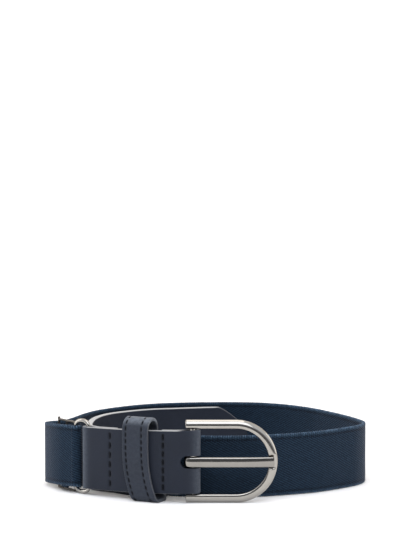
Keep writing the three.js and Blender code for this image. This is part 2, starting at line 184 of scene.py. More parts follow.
world = bpy.data.worlds.new("soft studio")
world.use_nodes = True
world.node_tree.nodes.clear()
tree = world.node_tree
direction = add(tree, "ShaderNodeTexCoord")
parts = add(tree, "ShaderNodeSeparateXYZ", {0: direction.outputs["Generated"]})
brighter = add(tree, "ShaderNodeMath", {
    0: parts.outputs["Y"], 1: BACK_COUNTS, 2: parts.outputs["Z"],
}, operation="MULTIPLY_ADD")
strength = add(tree, "ShaderNodeMapRange", {
    "Value": brighter, "From Min": ROOM_UP_TO, "From Max": PAPER_FROM,
    "To Min": ROOM_SIDE, "To Max": PAPER_SIDE,
}, interpolation_type="SMOOTHSTEP")
behind = add(tree, "ShaderNodeMapRange", {
    "Value": parts.outputs["Y"], "From Min": -0.4, "From Max": 0.4,
})
tint = add(tree, "ShaderNodeMix", {
    0: behind, 6: linear("#f5f8ff"), 7: linear("#fff8f0"),
}, data_type="RGBA")
around = add(tree, "ShaderNodeBackground", {"Color": tint.outputs[2], "Strength": strength})
seen = add(tree, "ShaderNodeBackground", {
    "Color": linear("#ffffff"), "Strength": SEEN_BACKGROUND,
})
ray = add(tree, "ShaderNodeLightPath")
both = add(tree, "ShaderNodeMixShader", {
    0: ray.outputs["Is Camera Ray"], 1: around, 2: seen,
})
add(tree, "ShaderNodeOutputWorld", {"Surface": both})
bpy.context.scene.world = world


def area_lamp(name, colour, place, aim, size, watts):
    """A rectangular lamp at place, in metres, turned to face the point aim."""
    data = bpy.data.lights.new(name, "AREA")
    data.color = linear(colour)[:3]
    data.shape = "RECTANGLE"
    data.size, data.size_y = size
    data.energy = watts
    lamp = bpy.data.objects.new(name, data)
    lamp.location = place
    toward = np.array(aim, float) - np.array(place, float)
    turn = math.atan2(toward[1], toward[0])
    tilt = math.acos(-toward[2] / np.linalg.norm(toward))
    lamp.rotation_euler = (tilt, 0, turn - math.pi / 2)
    bpy.context.scene.collection.objects.link(lamp)


# Each row: name, colour, place, height that it is aimed at, size and watts.
SOFTBOXES = (
    ("front", "#f4f8ff", (0.0, -0.72, 0.76), 0.0, (0.75, 0.68), 3.7),
    ("top", "#fff9f2", (0.0, 0.02, 1.05), 0.0, (0.55, 0.75), 2.3),
    ("left", "#ffffff", (-1.1, -0.05, 0.45), 0.02, (0.3, 0.8), 3.2),
    ("right", "#ffffff", (1.1, 0.05, 0.4), 0.02, (0.3, 0.7), 0.8),
)
for side, colour, place, aim_height, size, watts in SOFTBOXES:
    area_lamp(f"{side} softbox", colour, place, (0.0, 0.0, aim_height), size, watts)
bpy.context.scene.view_settings.view_transform = "Standard"


# %% [markdown]
# ## Lines in the plan
#
# Seen from above, every strap is one smooth line. Most of the work is done here, with arrays
# of two columns: the direction of a line at each point, the distance run along it, arcs for
# the folds, and a spline through the few places that the photograph gives. A spline with
# centripetal weights is used because it never makes a loop between close points.

# %% Line helpers
def heading(degrees):
    """Unit vector at an angle from +X."""
    return np.array([math.cos(math.radians(degrees)), math.sin(math.radians(degrees))])


def unit(vectors):
    """Each row divided by its own length."""
    return vectors / np.linalg.norm(vectors, axis=-1, keepdims=True)


def left_of(directions):
    """Each direction turned a quarter turn to the left: (x, y) becomes (-y, x)."""
    directions = np.asarray(directions)
    return np.stack([-directions[..., 1], directions[..., 0]], axis=-1)


def run_of(line):
    """Distance run up to each point: the running total of the lengths between points."""
    return np.concatenate([[0.0], np.cumsum(np.linalg.norm(np.diff(line, axis=0), axis=1))])


def at_runs(line, runs):
    """Points of a line at the given distances along it, each column interpolated by itself."""
    known = run_of(line)
    return np.stack([np.interp(runs, known, column) for column in line.T], axis=-1)


def evenly(line, step):
    """The same line with its points about one step apart."""
    total = run_of(line)[-1]
    return at_runs(line, np.linspace(0, total, round(total / step) + 1))


def aim_of(line):
    """Direction at each point: the difference of its neighbours, made one long."""
    return unit(np.gradient(line, axis=0))


def smooth_line(points, step, closed=False, span_steps=60):
    """Centripetal spline. Each span is a cubic whose end slopes come from the chords round it,
    a chord counting by one over the square root of its length."""
    points = np.asarray(points, float)
    before = points[-1] if closed else 2 * points[0] - points[1]
    after = points[:2] if closed else 2 * points[-1:] - points[-2:-1]
    p = np.vstack([before, points, after])
    knot = np.sqrt(np.linalg.norm(np.diff(p, axis=0), axis=1))[:, None]
    before, here, after = knot[:-2], knot[1:-1], knot[2:]
    p0, p1, p2, p3 = p[:-3], p[1:-2], p[2:-1], p[3:]
    slope1 = ((p1 - p0) / before - (p2 - p0) / (before + here) + (p2 - p1) / here) * here
    slope2 = ((p2 - p1) / here - (p3 - p1) / (here + after) + (p3 - p2) / after) * here
    t = np.linspace(0, 1, span_steps, endpoint=False)[:, None, None]
    start = (2 * t**3 - 3 * t**2 + 1) * p1 + (t**3 - 2 * t**2 + t) * slope1
    curve = start + (3 * t**2 - 2 * t**3) * p2 + (t**3 - t**2) * slope2
    return evenly(np.vstack([curve.transpose(1, 0, 2).reshape(-1, 2), p[-2:-1]]), step)


def fold_round(centre, radius, aim_in, aim_out, turn, steps=28):
    """Arc about centre, for a strap that arrives along aim_in and leaves along aim_out, turning
    left (+1) or right (-1)."""
    first = math.atan2(aim_in[1], aim_in[0])
    sweep = math.atan2(aim_out[1], aim_out[0]) - first
    sweep = sweep % math.tau if turn > 0 else sweep % math.tau - math.tau
    angles = first + sweep * np.linspace(0, 1, steps)
    aims = np.stack([np.cos(angles), np.sin(angles)], axis=-1)
    return centre - turn * radius * left_of(aims)


def smoothstep(value):
    """0 below 0, 1 above 1, and 3v2 - 2v3 between."""
    v = np.clip(value, 0, 1)
    return v * v * (3 - 2 * v)


# %% [markdown]
# ## Where the belt lies
#
# The coil's middle line goes through a few places given as shares of its length and depth.
# They are the same ones that the construction model uses, so the fine surfaces below lie
# exactly in the space that their solids hold. The line is moved until its box fits the box
# of the elastic's solid.

# %% The coil's middle line
ELASTIC_THICKNESS = 1.6
TAB_THICKNESS = 1.6
TIP_THICKNESS = 3.0
COIL_LENGTH = 157.2
COIL_DEPTH = 119.2
WIRE = 2.0
RING_LEG_SPACING = 7.6
RING_TURN = -34.0

coil_shares = np.array([
    (0.051, 0.159), (0.019, 0.233), (0.0, 0.325), (0.017, 0.384), (0.05, 0.438),
    (0.077, 0.515), (0.109, 0.641), (0.155, 0.757), (0.315, 0.941), (0.557, 1.0),
    (0.712, 0.967), (0.83, 0.842), (0.912, 0.676), (0.976, 0.503), (1.0, 0.385),
    (0.975, 0.293), (0.921, 0.214), (0.832, 0.116), (0.69, 0.032), (0.604, 0.005),
    (0.5, 0.004), (0.37, 0.041), (0.232, 0.122), (0.168, 0.197), (0.138, 0.29),
    (0.136, 0.39), (0.144, 0.486), (0.165, 0.575), (0.203, 0.653), (0.314, 0.761),
    (0.395, 0.789), (0.516, 0.826), (0.638, 0.838),
])

elastic_low = box_mm("elastic_strap")[0]
ring_low, ring_high = box_mm("oval_ring")
tab_low, tab_high = box_mm("buckle_tab")
ring_middle = (ring_low[:2] + ring_high[:2]) / 2
ring_aim = heading(RING_TURN)
ring_left = ring_middle - ring_aim * RING_LEG_SPACING / 2
ring_right = ring_middle + ring_aim * RING_LEG_SPACING / 2
lift_at_ring = tab_low[2]
lift_at_bar = tab_high[2] - STRAP_WIDTH
elastic_fold_radius = WIRE / 2 + CLEARANCE + ELASTIC_THICKNESS / 2

coil_places = coil_shares * (COIL_LENGTH, COIL_DEPTH)
coil_box = smooth_line(coil_places, 0.5)
coil_places += elastic_low[:2] + ELASTIC_THICKNESS / 2 - coil_box.min(axis=0)
coil_start = ring_left + left_of(unit(coil_places[0] - ring_left)) * elastic_fold_radius
coil_line = smooth_line(np.vstack([coil_start, coil_places]), 0.25)
coil_total = run_of(coil_line)[-1]
print(f"coil line {coil_total:.1f} mm, ring legs at {ring_left.round(2)}, {ring_right.round(2)}")


# %% [markdown]
# ## From a line to a surface
#
# A strap, a wire and a rail are all the same kind of shape: a closed section carried along a
# path. Every point of such a surface has two numbers, how far along and how far round, so the
# whole surface is one grid that numpy can work out at once. The helpers below turn such a
# grid into a closed mesh, with the two numbers kept as its UV map in millimetres. A weave can
# then follow the strap round every bend.

# %% Surface helpers
def swept(path, across, up, section):
    """Point (i, k) is path[i] + section[k, 0] * across[i] + section[k, 1] * up[i]. The section
    may change along the path, and then has one more axis in front."""
    section = np.broadcast_to(section, (len(path),) + section.shape[-2:])
    return path[:, None] + section[..., :1] * across[:, None] + section[..., 1:] * up[:, None]


def upright(line, heights):
    """Plan points and a height for each, as points in space."""
    return np.column_stack([line, np.broadcast_to(heights, len(line))])


def grid_faces(rows, columns, ring):
    """Corner numbers of the grid's faces. Columns close on themselves; rows do in a ring."""
    i = np.arange(rows if ring else rows - 1)[:, None]
    k = np.arange(columns)[None, :]
    next_i, next_k = (i + 1) % rows, (k + 1) % columns
    corners = [i * columns + k, i * columns + next_k, next_i * columns + next_k,
               next_i * columns + k]
    return np.stack(corners, axis=-1).reshape(-1, 4)


def grid_mesh(name, grid, along, around, ring=False, marks=None):
    """A closed mesh from a grid of points in mm. along has a distance for each row and around
    one for each column, both with one value more where the grid closes on itself. marks are
    named numbers from 0 to 1 for each point, which materials read."""
    rows, columns = grid.shape[:2]
    faces = grid_faces(rows, columns, ring)
    ends = [] if ring else [range(columns), range((rows - 1) * columns, rows * columns)]
    mesh = bpy.data.meshes.new(name)
    points = grid.reshape(-1, 3) * MM
    mesh.from_pydata(points.tolist(), [], faces.tolist() + [list(end) for end in ends])

    i, k = np.divmod(faces[:, 0], columns)
    u = along[np.stack([i, i, i + 1, i + 1], axis=-1)]
    v = around[np.stack([k, k + 1, k + 1, k], axis=-1)]
    uv = np.stack([u, v], axis=-1).reshape(-1, 2)
    for row in (0, rows - 1) if not ring else ():
        uv = np.vstack([uv, np.column_stack([np.full(columns, along[row]), around[:columns]])])
    mesh.uv_layers.new(name="strap").data.foreach_set("uv", uv.ravel())
    for mark, values in (marks or {}).items():
        layer = mesh.attributes.new(mark, "FLOAT", "POINT")
        layer.data.foreach_set("value", np.broadcast_to(values, (rows, columns)).ravel())
    return mesh


def finished(mesh, material, body, slot, *nodes, sharp=40.0):
    """The mesh as a piece: faces turned outwards, smooth but for sharp edges, on its body."""
    shape = bmesh.new()
    shape.from_mesh(mesh)
    bmesh.ops.recalc_face_normals(shape, faces=shape.faces)
    shape.to_mesh(mesh)
    shape.free()
    mesh.shade_smooth()
    mesh.set_sharp_from_angle(angle=math.radians(sharp))
    mesh.materials.clear()
    mesh.materials.append(material)
    piece = bpy.data.objects.new(mesh.name, mesh)
    bpy.context.scene.collection.objects.link(piece)
    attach(piece, body)
    if nodes:
        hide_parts(*nodes)
    print(f"{mesh.name}: {len(mesh.vertices)} points, {len(mesh.polygons)} faces")
    return piece


def joined(name, meshes):
    """Several meshes as one new mesh, with every face turned outwards. The old ones go."""
    shape = bmesh.new()
    for mesh in meshes:
        shape.from_mesh(mesh)
        bpy.data.meshes.remove(mesh)
    bmesh.ops.recalc_face_normals(shape, faces=shape.faces)
    whole = bpy.data.meshes.new(name)
    shape.to_mesh(whole)
    shape.free()
    return whole


def cut_away(mesh, cutters):
    """The mesh less the cutters, by the exact boolean, run once and kept as a plain mesh. The
    boolean tells inside from outside by the faces' sides, so all of them are turned outwards."""
    name = mesh.name
    body = bpy.data.objects.new("to be cut", joined("to be cut", [mesh]))
    tool = bpy.data.objects.new("cutters", joined("cutters", cutters))
    for thing in (body, tool):
        bpy.context.scene.collection.objects.link(thing)
    modifier = body.modifiers.new("cut", "BOOLEAN")
    modifier.operation = "DIFFERENCE"
    modifier.solver = "EXACT"
    modifier.object = tool
    shown = body.evaluated_get(bpy.context.evaluated_depsgraph_get())
    result = bpy.data.meshes.new_from_object(shown)
    result.name = name
    for thing in (body, tool):
        bpy.data.objects.remove(thing)
    return result


# %% [markdown]
# ## The elastic
#
# The elastic is woven from polyester over rubber threads, in a fine twill: each yarn passes
# over two and under two of the yarns that cross it, and every next yarn starts a little further
# on, which draws the slanting lines that the eye sees. Along both edges the crossing yarn turns
# back in small loops. That edge is real shape here, because it makes the outline scalloped.
# The twill itself is under half a millimetre, so it is left to the material.

# %% Section and edge of the elastic
EDGE_RADIUS = 0.7
EDGE_GROOVE_IN = 2.3
EDGE_GROOVE_DEPTH = 0.07
EDGE_GROOVE_WIDTH = 0.4
SCALLOP_PITCH = 1.15
SCALLOP_HEIGHT = 0.34
ELASTIC_STEP = 0.36
HEIGHTS_BY_GROOVE = (1.2, 1.7, 2.0, 2.3, 2.6, 3.1)
HEIGHTS_ON_FLAT = (5.5, 9.0, 12.0)

bead = EDGE_RADIUS * (1 - np.cos(np.linspace(0, math.pi / 2, 5)))
from_edge = np.concatenate([bead, HEIGHTS_BY_GROOVE, HEIGHTS_ON_FLAT])
side_heights = np.concatenate([from_edge, STRAP_WIDTH - from_edge[::-1]])


def elastic_half_thickness(height):
    """Half the thickness at a height: a round bead at the edge, a shallow groove inside it."""
    edge = np.minimum(height, STRAP_WIDTH - height)
    round_edge = np.sqrt(np.clip(1 - (1 - np.minimum(edge / EDGE_RADIUS, 1)) ** 2, 0.0, 1))
    groove = EDGE_GROOVE_DEPTH * np.exp(-((edge - EDGE_GROOVE_IN) / EDGE_GROOVE_WIDTH) ** 2)
    return ELASTIC_THICKNESS / 2 * round_edge - groove


def elastic_section():
    """The closed section: up one side and down the other, without the doubled end points."""
    up_side = np.column_stack([elastic_half_thickness(side_heights), side_heights])
    down_side = up_side[-2:0:-1] * (-1, 1)
    return np.vstack([up_side, down_side])


# %% Path of the elastic: folded end, slide, ring, coil
SLIDE_FROM_RING = 10.5
SLIDE_BAR = 1.8
SLIDE_LENGTH = 15.5
SLIDE_STAND_OFF = 1.0
ELASTIC_END_LENGTH = 4.0
TIP_LENGTH = 171.2
JOINT_OVERLAP = 17.0
LIFT_FADE_LENGTH = 52.0
FOLD_ASKEW = 1.4
FOLD_STRAIGHT = 4.0
FOLD_ASKEW_LENGTH = 5.0

slide_point = at_runs(coil_line, [SLIDE_FROM_RING])[0]
slide_aim = aim_of(coil_line)[np.searchsorted(run_of(coil_line), SLIDE_FROM_RING)]
slide_inset = ELASTIC_THICKNESS * 1.5 + SLIDE_STAND_OFF + CLEARANCE + SLIDE_BAR / 2
slide_centre = slide_point - left_of(slide_aim) * slide_inset
slide_fold_radius = math.hypot(SLIDE_BAR, SLIDE_BAR) / 2 + CLEARANCE + ELASTIC_THICKNESS / 2

round_slide = fold_round(slide_centre, slide_fold_radius, slide_aim, -slide_aim, -1)
elastic_end = round_slide[0] - slide_aim * ELASTIC_END_LENGTH
past_bar = round_slide[-1] - slide_aim * SLIDE_LENGTH / 2
round_ring = fold_round(ring_left, elastic_fold_radius, -slide_aim, aim_of(coil_line)[0], -1)
folded = np.vstack([elastic_end, round_slide, past_bar, round_ring])
tip_start = coil_total - TIP_LENGTH
elastic_stop = tip_start + JOINT_OVERLAP
on_coil = coil_line[run_of(coil_line) <= elastic_stop]
elastic_line = evenly(np.vstack([folded, on_coil[1:]]), ELASTIC_STEP)
elastic_run = run_of(elastic_line)
folded_length = run_of(folded)[-1]


def coil_lift(run):
    """Height of the lower edge: the lift at the ring, falling to nothing as half a cosine."""
    share = np.clip(run / LIFT_FADE_LENGTH, 0, 1)
    return lift_at_ring * (0.5 + 0.5 * np.cos(math.pi * share))


def folded_drop(run):
    """How much lower the folded-back layer lies than the outer one: past the fold the two are
    a little askew, so that its edge shows under the outer layer's."""
    return FOLD_ASKEW * smoothstep((folded_length - FOLD_STRAIGHT - run) / FOLD_ASKEW_LENGTH)


print(f"elastic {elastic_run[-1]:.1f} mm, of which folded back {folded_length:.1f} mm")

# %% Surface of the elastic
LOOP_REACH = 0.8
LOOP_POWER = 0.8
LOOP_PLAY = 0.25
LOOP_THINNING = 0.22
random = np.random.default_rng(7)


def elastic_surface():
    """The section carried along the line. Near both edges each point is drawn in between the
    edge yarn's loops, by a rounded wave along the strap, so that they show in the outline."""
    section = elastic_section()
    height = np.broadcast_to(section[:, 1], (len(elastic_line), len(section))).copy()
    edge = np.minimum(height, STRAP_WIDTH - height)
    near_edge = np.exp(-(edge / LOOP_REACH) ** 2)
    wave = np.abs(np.cos(math.pi * elastic_run / SCALLOP_PITCH)) ** LOOP_POWER
    loops = np.floor(elastic_run / SCALLOP_PITCH + 0.5).astype(int)
    uneven = (1 - LOOP_PLAY) + LOOP_PLAY * random.random(loops.max() + 1)[loops]
    pulled_in = SCALLOP_HEIGHT * (1 - wave * uneven)[:, None] * near_edge
    height += np.where(height < STRAP_WIDTH / 2, pulled_in, -pulled_in)
    thickness = section[:, 0] * (1 - LOOP_THINNING * (1 - wave)[:, None] * near_edge)
    lift = coil_lift(elastic_run - folded_length) - folded_drop(elastic_run)
    side = np.column_stack([left_of(aim_of(elastic_line)), np.zeros(len(elastic_line))])
    up = np.broadcast_to([0.0, 0.0, 1.0], side.shape)
    return swept(upright(elastic_line, lift), side, up, np.stack([thickness, height], axis=-1))


elastic_heights = elastic_section()[:, 1]
elastic_mesh = grid_mesh("elastic_webbing", elastic_surface(), elastic_run,
                         np.append(elastic_heights, elastic_heights[0]))

# %% [markdown]
# ### Finish of the elastic
#
# The twill is drawn from the strap's own UV map, in millimetres. The height is divided into
# rows one yarn high. Along each row a rounded pulse repeats every float, and each row starts
# a little further along than the one below it. The pulse is both the light part of the colour
# and the raised part of the bump. The real floats are finer than the picture can show, so they
# are drawn about twice as coarse, and a noise moves and breaks them, as the rubber threads do.
# Along the edges the colour follows the loops, lighter on some stretches than on others.
# Polyester yarn has a soft sheen, which is what turns the belt lilac grey where it curves away
# from the eye.

# %% Woven polyester elastic
YARN_HEIGHT = 0.42
FLOAT_LENGTH = 2.2
FLOAT_SHIFT = 0.8
FLOAT_STRAY = 1.7
webbing, tree = new_material("woven polyester elastic, navy")
strap_uv = add(tree, "ShaderNodeUVMap", uv_map="strap")
place = add(tree, "ShaderNodeSeparateXYZ", {0: strap_uv})
fuzz = add(tree, "ShaderNodeTexNoise", {"Vector": strap_uv, "Scale": 1.4, "Detail": 3.0})
strayed = add(tree, "ShaderNodeMath", {0: fuzz, 1: FLOAT_STRAY}, operation="MULTIPLY")
along = add(tree, "ShaderNodeMath", {0: place.outputs["X"], 1: strayed}, operation="ADD")
rows = add(tree, "ShaderNodeMath", {0: place.outputs["Y"], 1: YARN_HEIGHT}, operation="DIVIDE")
row = add(tree, "ShaderNodeMath", {0: rows}, operation="FLOOR")
across_yarn = add(tree, "ShaderNodeMath", {0: rows}, operation="FRACT")
shift = add(tree, "ShaderNodeMath", {0: row, 1: -FLOAT_SHIFT, 2: along},
            operation="MULTIPLY_ADD")
cycle = add(tree, "ShaderNodeMath", {0: shift, 1: math.tau / FLOAT_LENGTH},
            operation="MULTIPLY")
pulse = add(tree, "ShaderNodeMath", {0: cycle}, operation="COSINE")
float_height = add(tree, "ShaderNodeMapRange", {
    "Value": pulse, "From Min": -0.6, "From Max": 0.9,
}, interpolation_type="SMOOTHSTEP")
yarn_angle = add(tree, "ShaderNodeMath", {0: across_yarn, 1: math.pi}, operation="MULTIPLY")
yarn_round = add(tree, "ShaderNodeMath", {0: yarn_angle}, operation="SINE")
relief = add(tree, "ShaderNodeMath", {0: yarn_round, 1: float_height}, operation="MULTIPLY")
specks = add(tree, "ShaderNodeTexNoise", {"Vector": strap_uv, "Scale": 2.6, "Detail": 4.0,
                                          "Roughness": 0.7})
broken = add(tree, "ShaderNodeMath", {0: relief, 1: specks}, operation="MULTIPLY")
worn_tone = add(tree, "ShaderNodeMapRange", {"Value": broken, "From Min": 0.02,
                                             "From Max": 0.6})
twill_colour = add(tree, "ShaderNodeMix", {
    0: worn_tone, 6: linear("#141e2a"), 7: linear("#2c4155"),
}, data_type="RGBA")
from_low = add(tree, "ShaderNodeMath", {0: place.outputs["Y"], 1: STRAP_WIDTH / 2},
               operation="SUBTRACT")
off_middle = add(tree, "ShaderNodeMath", {0: from_low}, operation="ABSOLUTE")
loop_part = add(tree, "ShaderNodeMapRange", {
    "Value": off_middle, "From Min": STRAP_WIDTH / 2 - 1.7, "From Max": STRAP_WIDTH / 2 - 0.4,
})
blob_rise = add(tree, "ShaderNodeMapRange", {
    "Value": off_middle, "From Min": STRAP_WIDTH / 2 - 3.2, "From Max": STRAP_WIDTH / 2 - 2.4,
})
blob_fall = add(tree, "ShaderNodeMapRange", {
    "Value": off_middle, "From Min": STRAP_WIDTH / 2 - 2.2, "From Max": STRAP_WIDTH / 2 - 1.6,
    "To Min": 1.0, "To Max": 0.0,
})
blob_row = add(tree, "ShaderNodeMath", {0: blob_rise, 1: blob_fall}, operation="MULTIPLY")
loop_cycle = add(tree, "ShaderNodeMath", {0: along, 1: math.tau / SCALLOP_PITCH},
                 operation="MULTIPLY")
loop_wave = add(tree, "ShaderNodeMath", {0: loop_cycle}, operation="COSINE")
loop_height = add(tree, "ShaderNodeMapRange", {
    "Value": loop_wave, "From Min": -0.7, "From Max": 0.7,
}, interpolation_type="SMOOTHSTEP")
patches = add(tree, "ShaderNodeTexNoise", {"Vector": strap_uv, "Scale": 0.45, "Detail": 2.0})
patch_tone = add(tree, "ShaderNodeMapRange", {
    "Value": patches, "From Min": 0.35, "From Max": 0.65, "To Min": 0.45, "To Max": 1.5,
})
speckled = add(tree, "ShaderNodeMath", {0: loop_height, 1: specks}, operation="MULTIPLY")
ragged = add(tree, "ShaderNodeMath", {0: speckled, 1: patch_tone}, operation="MULTIPLY")
blob_tone = add(tree, "ShaderNodeMapRange", {
    "Value": ragged, "From Min": 0.05, "From Max": 0.5, "To Min": 0.9, "To Max": 0.0,
})
blobs = add(tree, "ShaderNodeMath", {0: blob_row, 1: blob_tone}, operation="MULTIPLY")
shaded = add(tree, "ShaderNodeMix", {
    0: blobs, 6: twill_colour.outputs[2], 7: linear("#0d131c"),
}, data_type="RGBA")
loop_tone = add(tree, "ShaderNodeMix", {
    0: ragged, 6: linear("#222f3d"), 7: linear("#587088"),
}, data_type="RGBA")
loop_colour = add(tree, "ShaderNodeMix", {
    0: loop_part, 6: shaded.outputs[2], 7: loop_tone.outputs[2],
}, data_type="RGBA")
weave_bump = add(tree, "ShaderNodeBump", {
    "Strength": 0.8, "Distance": 0.16 * MM, "Height": relief,
})
webbing_shader = add(tree, "ShaderNodeBsdfPrincipled", {
    "Base Color": loop_colour.outputs[2],
    "Roughness": 0.85,
    "Specular IOR Level": 0.08,
    "Sheen Weight": 0.3,
    "Sheen Roughness": 0.3,
    "Sheen Tint": linear("#c8cbdc"),
    "Normal": weave_bump,
})
add(tree, "ShaderNodeOutputMaterial", {"Surface": webbing_shader})
finished(elastic_mesh, webbing, "belt", "elastic", "elastic_strap", sharp=70.0)


# %% [markdown]
# ## Leather
#
# The tab, the keeper and the tip are smooth bonded leather with a thin matt coat of colour.
# Where it is cut, the pale core shows as a light line. Where it is bent hard, the coat is
# lightened, partly as the stretched coat and partly as a painted highlight on the folds and the
# keeper's crest. These come from marks that the surfaces carry from the way they are made: one
# for the cut edge, one for the bend, and a third that paints the pits that the stitches pull
# near black, as the shade and dirt in them. The grain is half a millimetre and very shallow.

# %% Matt navy leather
leather, tree = new_material("coated bonded leather, matt navy")
spot = add(tree, "ShaderNodeTexCoord")
cloud = add(tree, "ShaderNodeTexNoise", {
    "Vector": spot.outputs["Object"], "Scale": 90.0, "Detail": 3.0,
})
grain = add(tree, "ShaderNodeTexVoronoi", {
    "Vector": spot.outputs["Object"], "Scale": 2100.0, "Randomness": 1.0,
})
fine = add(tree, "ShaderNodeTexNoise", {
    "Vector": spot.outputs["Object"], "Scale": 2600.0, "Detail": 3.0,
})
cut_mark = add(tree, "ShaderNodeAttribute", attribute_name="cut_edge")
bend_and_highlight_mark = add(tree, "ShaderNodeAttribute", attribute_name="bend")
pit_shade_and_dirt_mark = add(tree, "ShaderNodeAttribute", attribute_name="pit")
coat = add(tree, "ShaderNodeMix", {
    0: cloud, 6: linear("#1e222b"), 7: linear("#242934"),
}, data_type="RGBA")
crackle = add(tree, "ShaderNodeTexNoise", {
    "Vector": spot.outputs["Object"], "Scale": 700.0, "Detail": 5.0, "Roughness": 0.7,
})
# Where the bend mark is set, the coat is lightened: partly the stretched coat, partly a painted
# highlight on the folds and the keeper's crest.
stretch_and_highlight = add(tree, "ShaderNodeMath", {0: bend_and_highlight_mark.outputs["Fac"], 1: crackle},
              operation="MULTIPLY")
bent_and_highlit_coat = add(tree, "ShaderNodeMix", {
    0: stretch_and_highlight, 6: coat.outputs[2], 7: linear("#7b838e"),
}, data_type="RGBA")
core = add(tree, "ShaderNodeMix", {
    0: fine, 6: linear("#a5a8ac"), 7: linear("#c9c9c7"),
}, data_type="RGBA")
# The pits that the stitches pull are painted near black: painted shade, with the dirt that gathers
# in them.
pit_shaded_coat = add(tree, "ShaderNodeMix", {
    0: pit_shade_and_dirt_mark.outputs["Fac"], 6: bent_and_highlit_coat.outputs[2], 7: linear("#07090d"),
}, data_type="RGBA")
leather_colour = add(tree, "ShaderNodeMix", {
    0: cut_mark.outputs["Fac"], 6: pit_shaded_coat.outputs[2], 7: core.outputs[2],
}, data_type="RGBA")
grain_height = add(tree, "ShaderNodeMath", {0: fine, 1: 0.5, 2: grain},
                   operation="MULTIPLY_ADD")
grain_bump = add(tree, "ShaderNodeBump", {
    "Strength": 0.35, "Distance": 0.05 * MM, "Height": grain_height,
})
leather_roughness = add(tree, "ShaderNodeMapRange", {
    "Value": cloud, "From Min": 0.3, "From Max": 0.7, "To Min": 0.5, "To Max": 0.62,
})
leather_shader = add(tree, "ShaderNodeBsdfPrincipled", {
    "Base Color": leather_colour.outputs[2],
    "Roughness": leather_roughness,
    "Specular IOR Level": 0.14,
    "Normal": grain_bump,
})
add(tree, "ShaderNodeOutputMaterial", {"Surface": leather_shader})

# %% Section of a leather strap
EDGE_ROUNDING = 0.42
CORNER_STEPS = 5
FACE_STEP = 0.5
LEATHER_STEP = 0.45


def strip_section(thickness, width, radius=EDGE_ROUNDING, step=FACE_STEP):
    """A rectangle with quarter-circle corners, centred on zero: up the outer face, over the
    upper edge, down the inner face and under."""
    angles = np.linspace(0, math.pi / 2, CORNER_STEPS)
    corner = radius * np.column_stack([np.cos(angles), np.sin(angles)])
    out, high = thickness / 2 - radius, width / 2 - radius
    count = max(2, round(2 * high / step))
    face_heights = np.linspace(-high, high, count + 1)[1:-1]
    outer = np.column_stack([np.full(len(face_heights), thickness / 2), face_heights])
    top = corner + (out, high)
    inner_top = corner[::-1] * (-1, 1) + (-out, high)
    return np.vstack([outer, top, inner_top, -outer, -top, -inner_top])


def cut_edge_mark(section, width, reach_up, reach_down=0.1):
    """1 on the upper and the lower edge, and on the faces beside them for their reach."""
    past_up = section[..., 1] - (width / 2 - reach_up)
    past_down = -section[..., 1] - (width / 2 - reach_down)
    return np.clip(np.maximum(past_up, past_down) / 0.1 + 0.5, 0, 1)


def around_of(section):
    """Distance run round a closed section, with the whole length at the end."""
    return run_of(np.vstack([section, section[:1]]))


def seam_sink(run, height, seams, stitches, length, width):
    """How far the leather is pulled in, as a share of the seam's depth, and the part of it that
    is pits: a soft groove along each seam is a quarter, and a pit round each stitch, fading
    beyond half the stitch's length, is the rest."""
    groove, pits = 0.0, 0.0
    for seam, places in zip(seams, stitches):
        near = np.exp(-((run - seam) / width) ** 2)
        past = np.abs(height[..., None] - places) - length / 2
        groove = groove + near
        pits = pits + near * np.exp(-(np.maximum(past, 0) / (width * 0.5)) ** 2).sum(axis=-1)
    return 0.25 * groove + 0.75 * np.clip(pits, 0, 1), np.clip(pits, 0, 1)


# %% [markdown]
# ## The tip strap
#
# The tip is two layers of leather glued together, 3 mm in all. It lies outside the elastic's
# end where the two are sewn together, then eases over onto the coil's own line, and ends in a
# blunt point. Where it turns back tightly, its foot stands out a little further than its top,
# as stiff leather's does. The round holes for the prong are cut with the exact boolean, because
# a hole's clean rim is a change that a grid of points can't make.

# %% Surface of the tip strap
TIP_STEP = 0.5
TIP_EASE_LENGTH = 12.0
TIP_POINT_LENGTH = 15.5
TIP_BLUNT_SHARE = 0.22
TIP_SWELL_POWER = 1.35
TIP_END_ROUNDING = 1.6
TIP_FINE_END = 2.4
TIP_CORE_SHOWS = 0.25
TIP_CORE_AT_POINT = 0.08
TIP_CORE_ALONG = 0.8
TIP_CORE_FADE = 5.0
TIP_FOOT_OUT = 3.2
TIP_TURN_FROM_START = 56.0
TIP_TURN_REACH = 22.0
JOINT_SEAM_RUNS = (3.5, 13.5)
JOINT_SEAM_DEPTH = 0.4
JOINT_SEAM_WIDTH = 0.6
JOINT_STITCH_LENGTH = 2.2
JOINT_STITCH_PITCH = 3.2
JOINT_STITCH_COUNT = 9
HOLE_DIAMETER = 3.8
HOLE_COUNT = 5
HOLE_SPACING = 18.0
HOLE_FROM_END = 42.0

tip_path = at_runs(coil_line, np.linspace(tip_start, coil_total, round(TIP_LENGTH / TIP_STEP)))
tip_run = run_of(tip_path)
past_joint = (tip_run - JOINT_OVERLAP) / TIP_EASE_LENGTH
sideways = ELASTIC_THICKNESS / 2 + CLEARANCE + TIP_THICKNESS / 2
aside = sideways * (1 - smoothstep(past_joint))
tip_path = tip_path + left_of(aim_of(tip_path)) * aside[:, None]
tip_run = run_of(tip_path)
near_end = np.linspace(TIP_FINE_END, 0, 14)
before_end = tip_run[tip_run < tip_run[-1] - TIP_FINE_END - 0.1]
tip_runs = np.concatenate([before_end, tip_run[-1] - near_end])
tip_path = at_runs(tip_path, tip_runs)


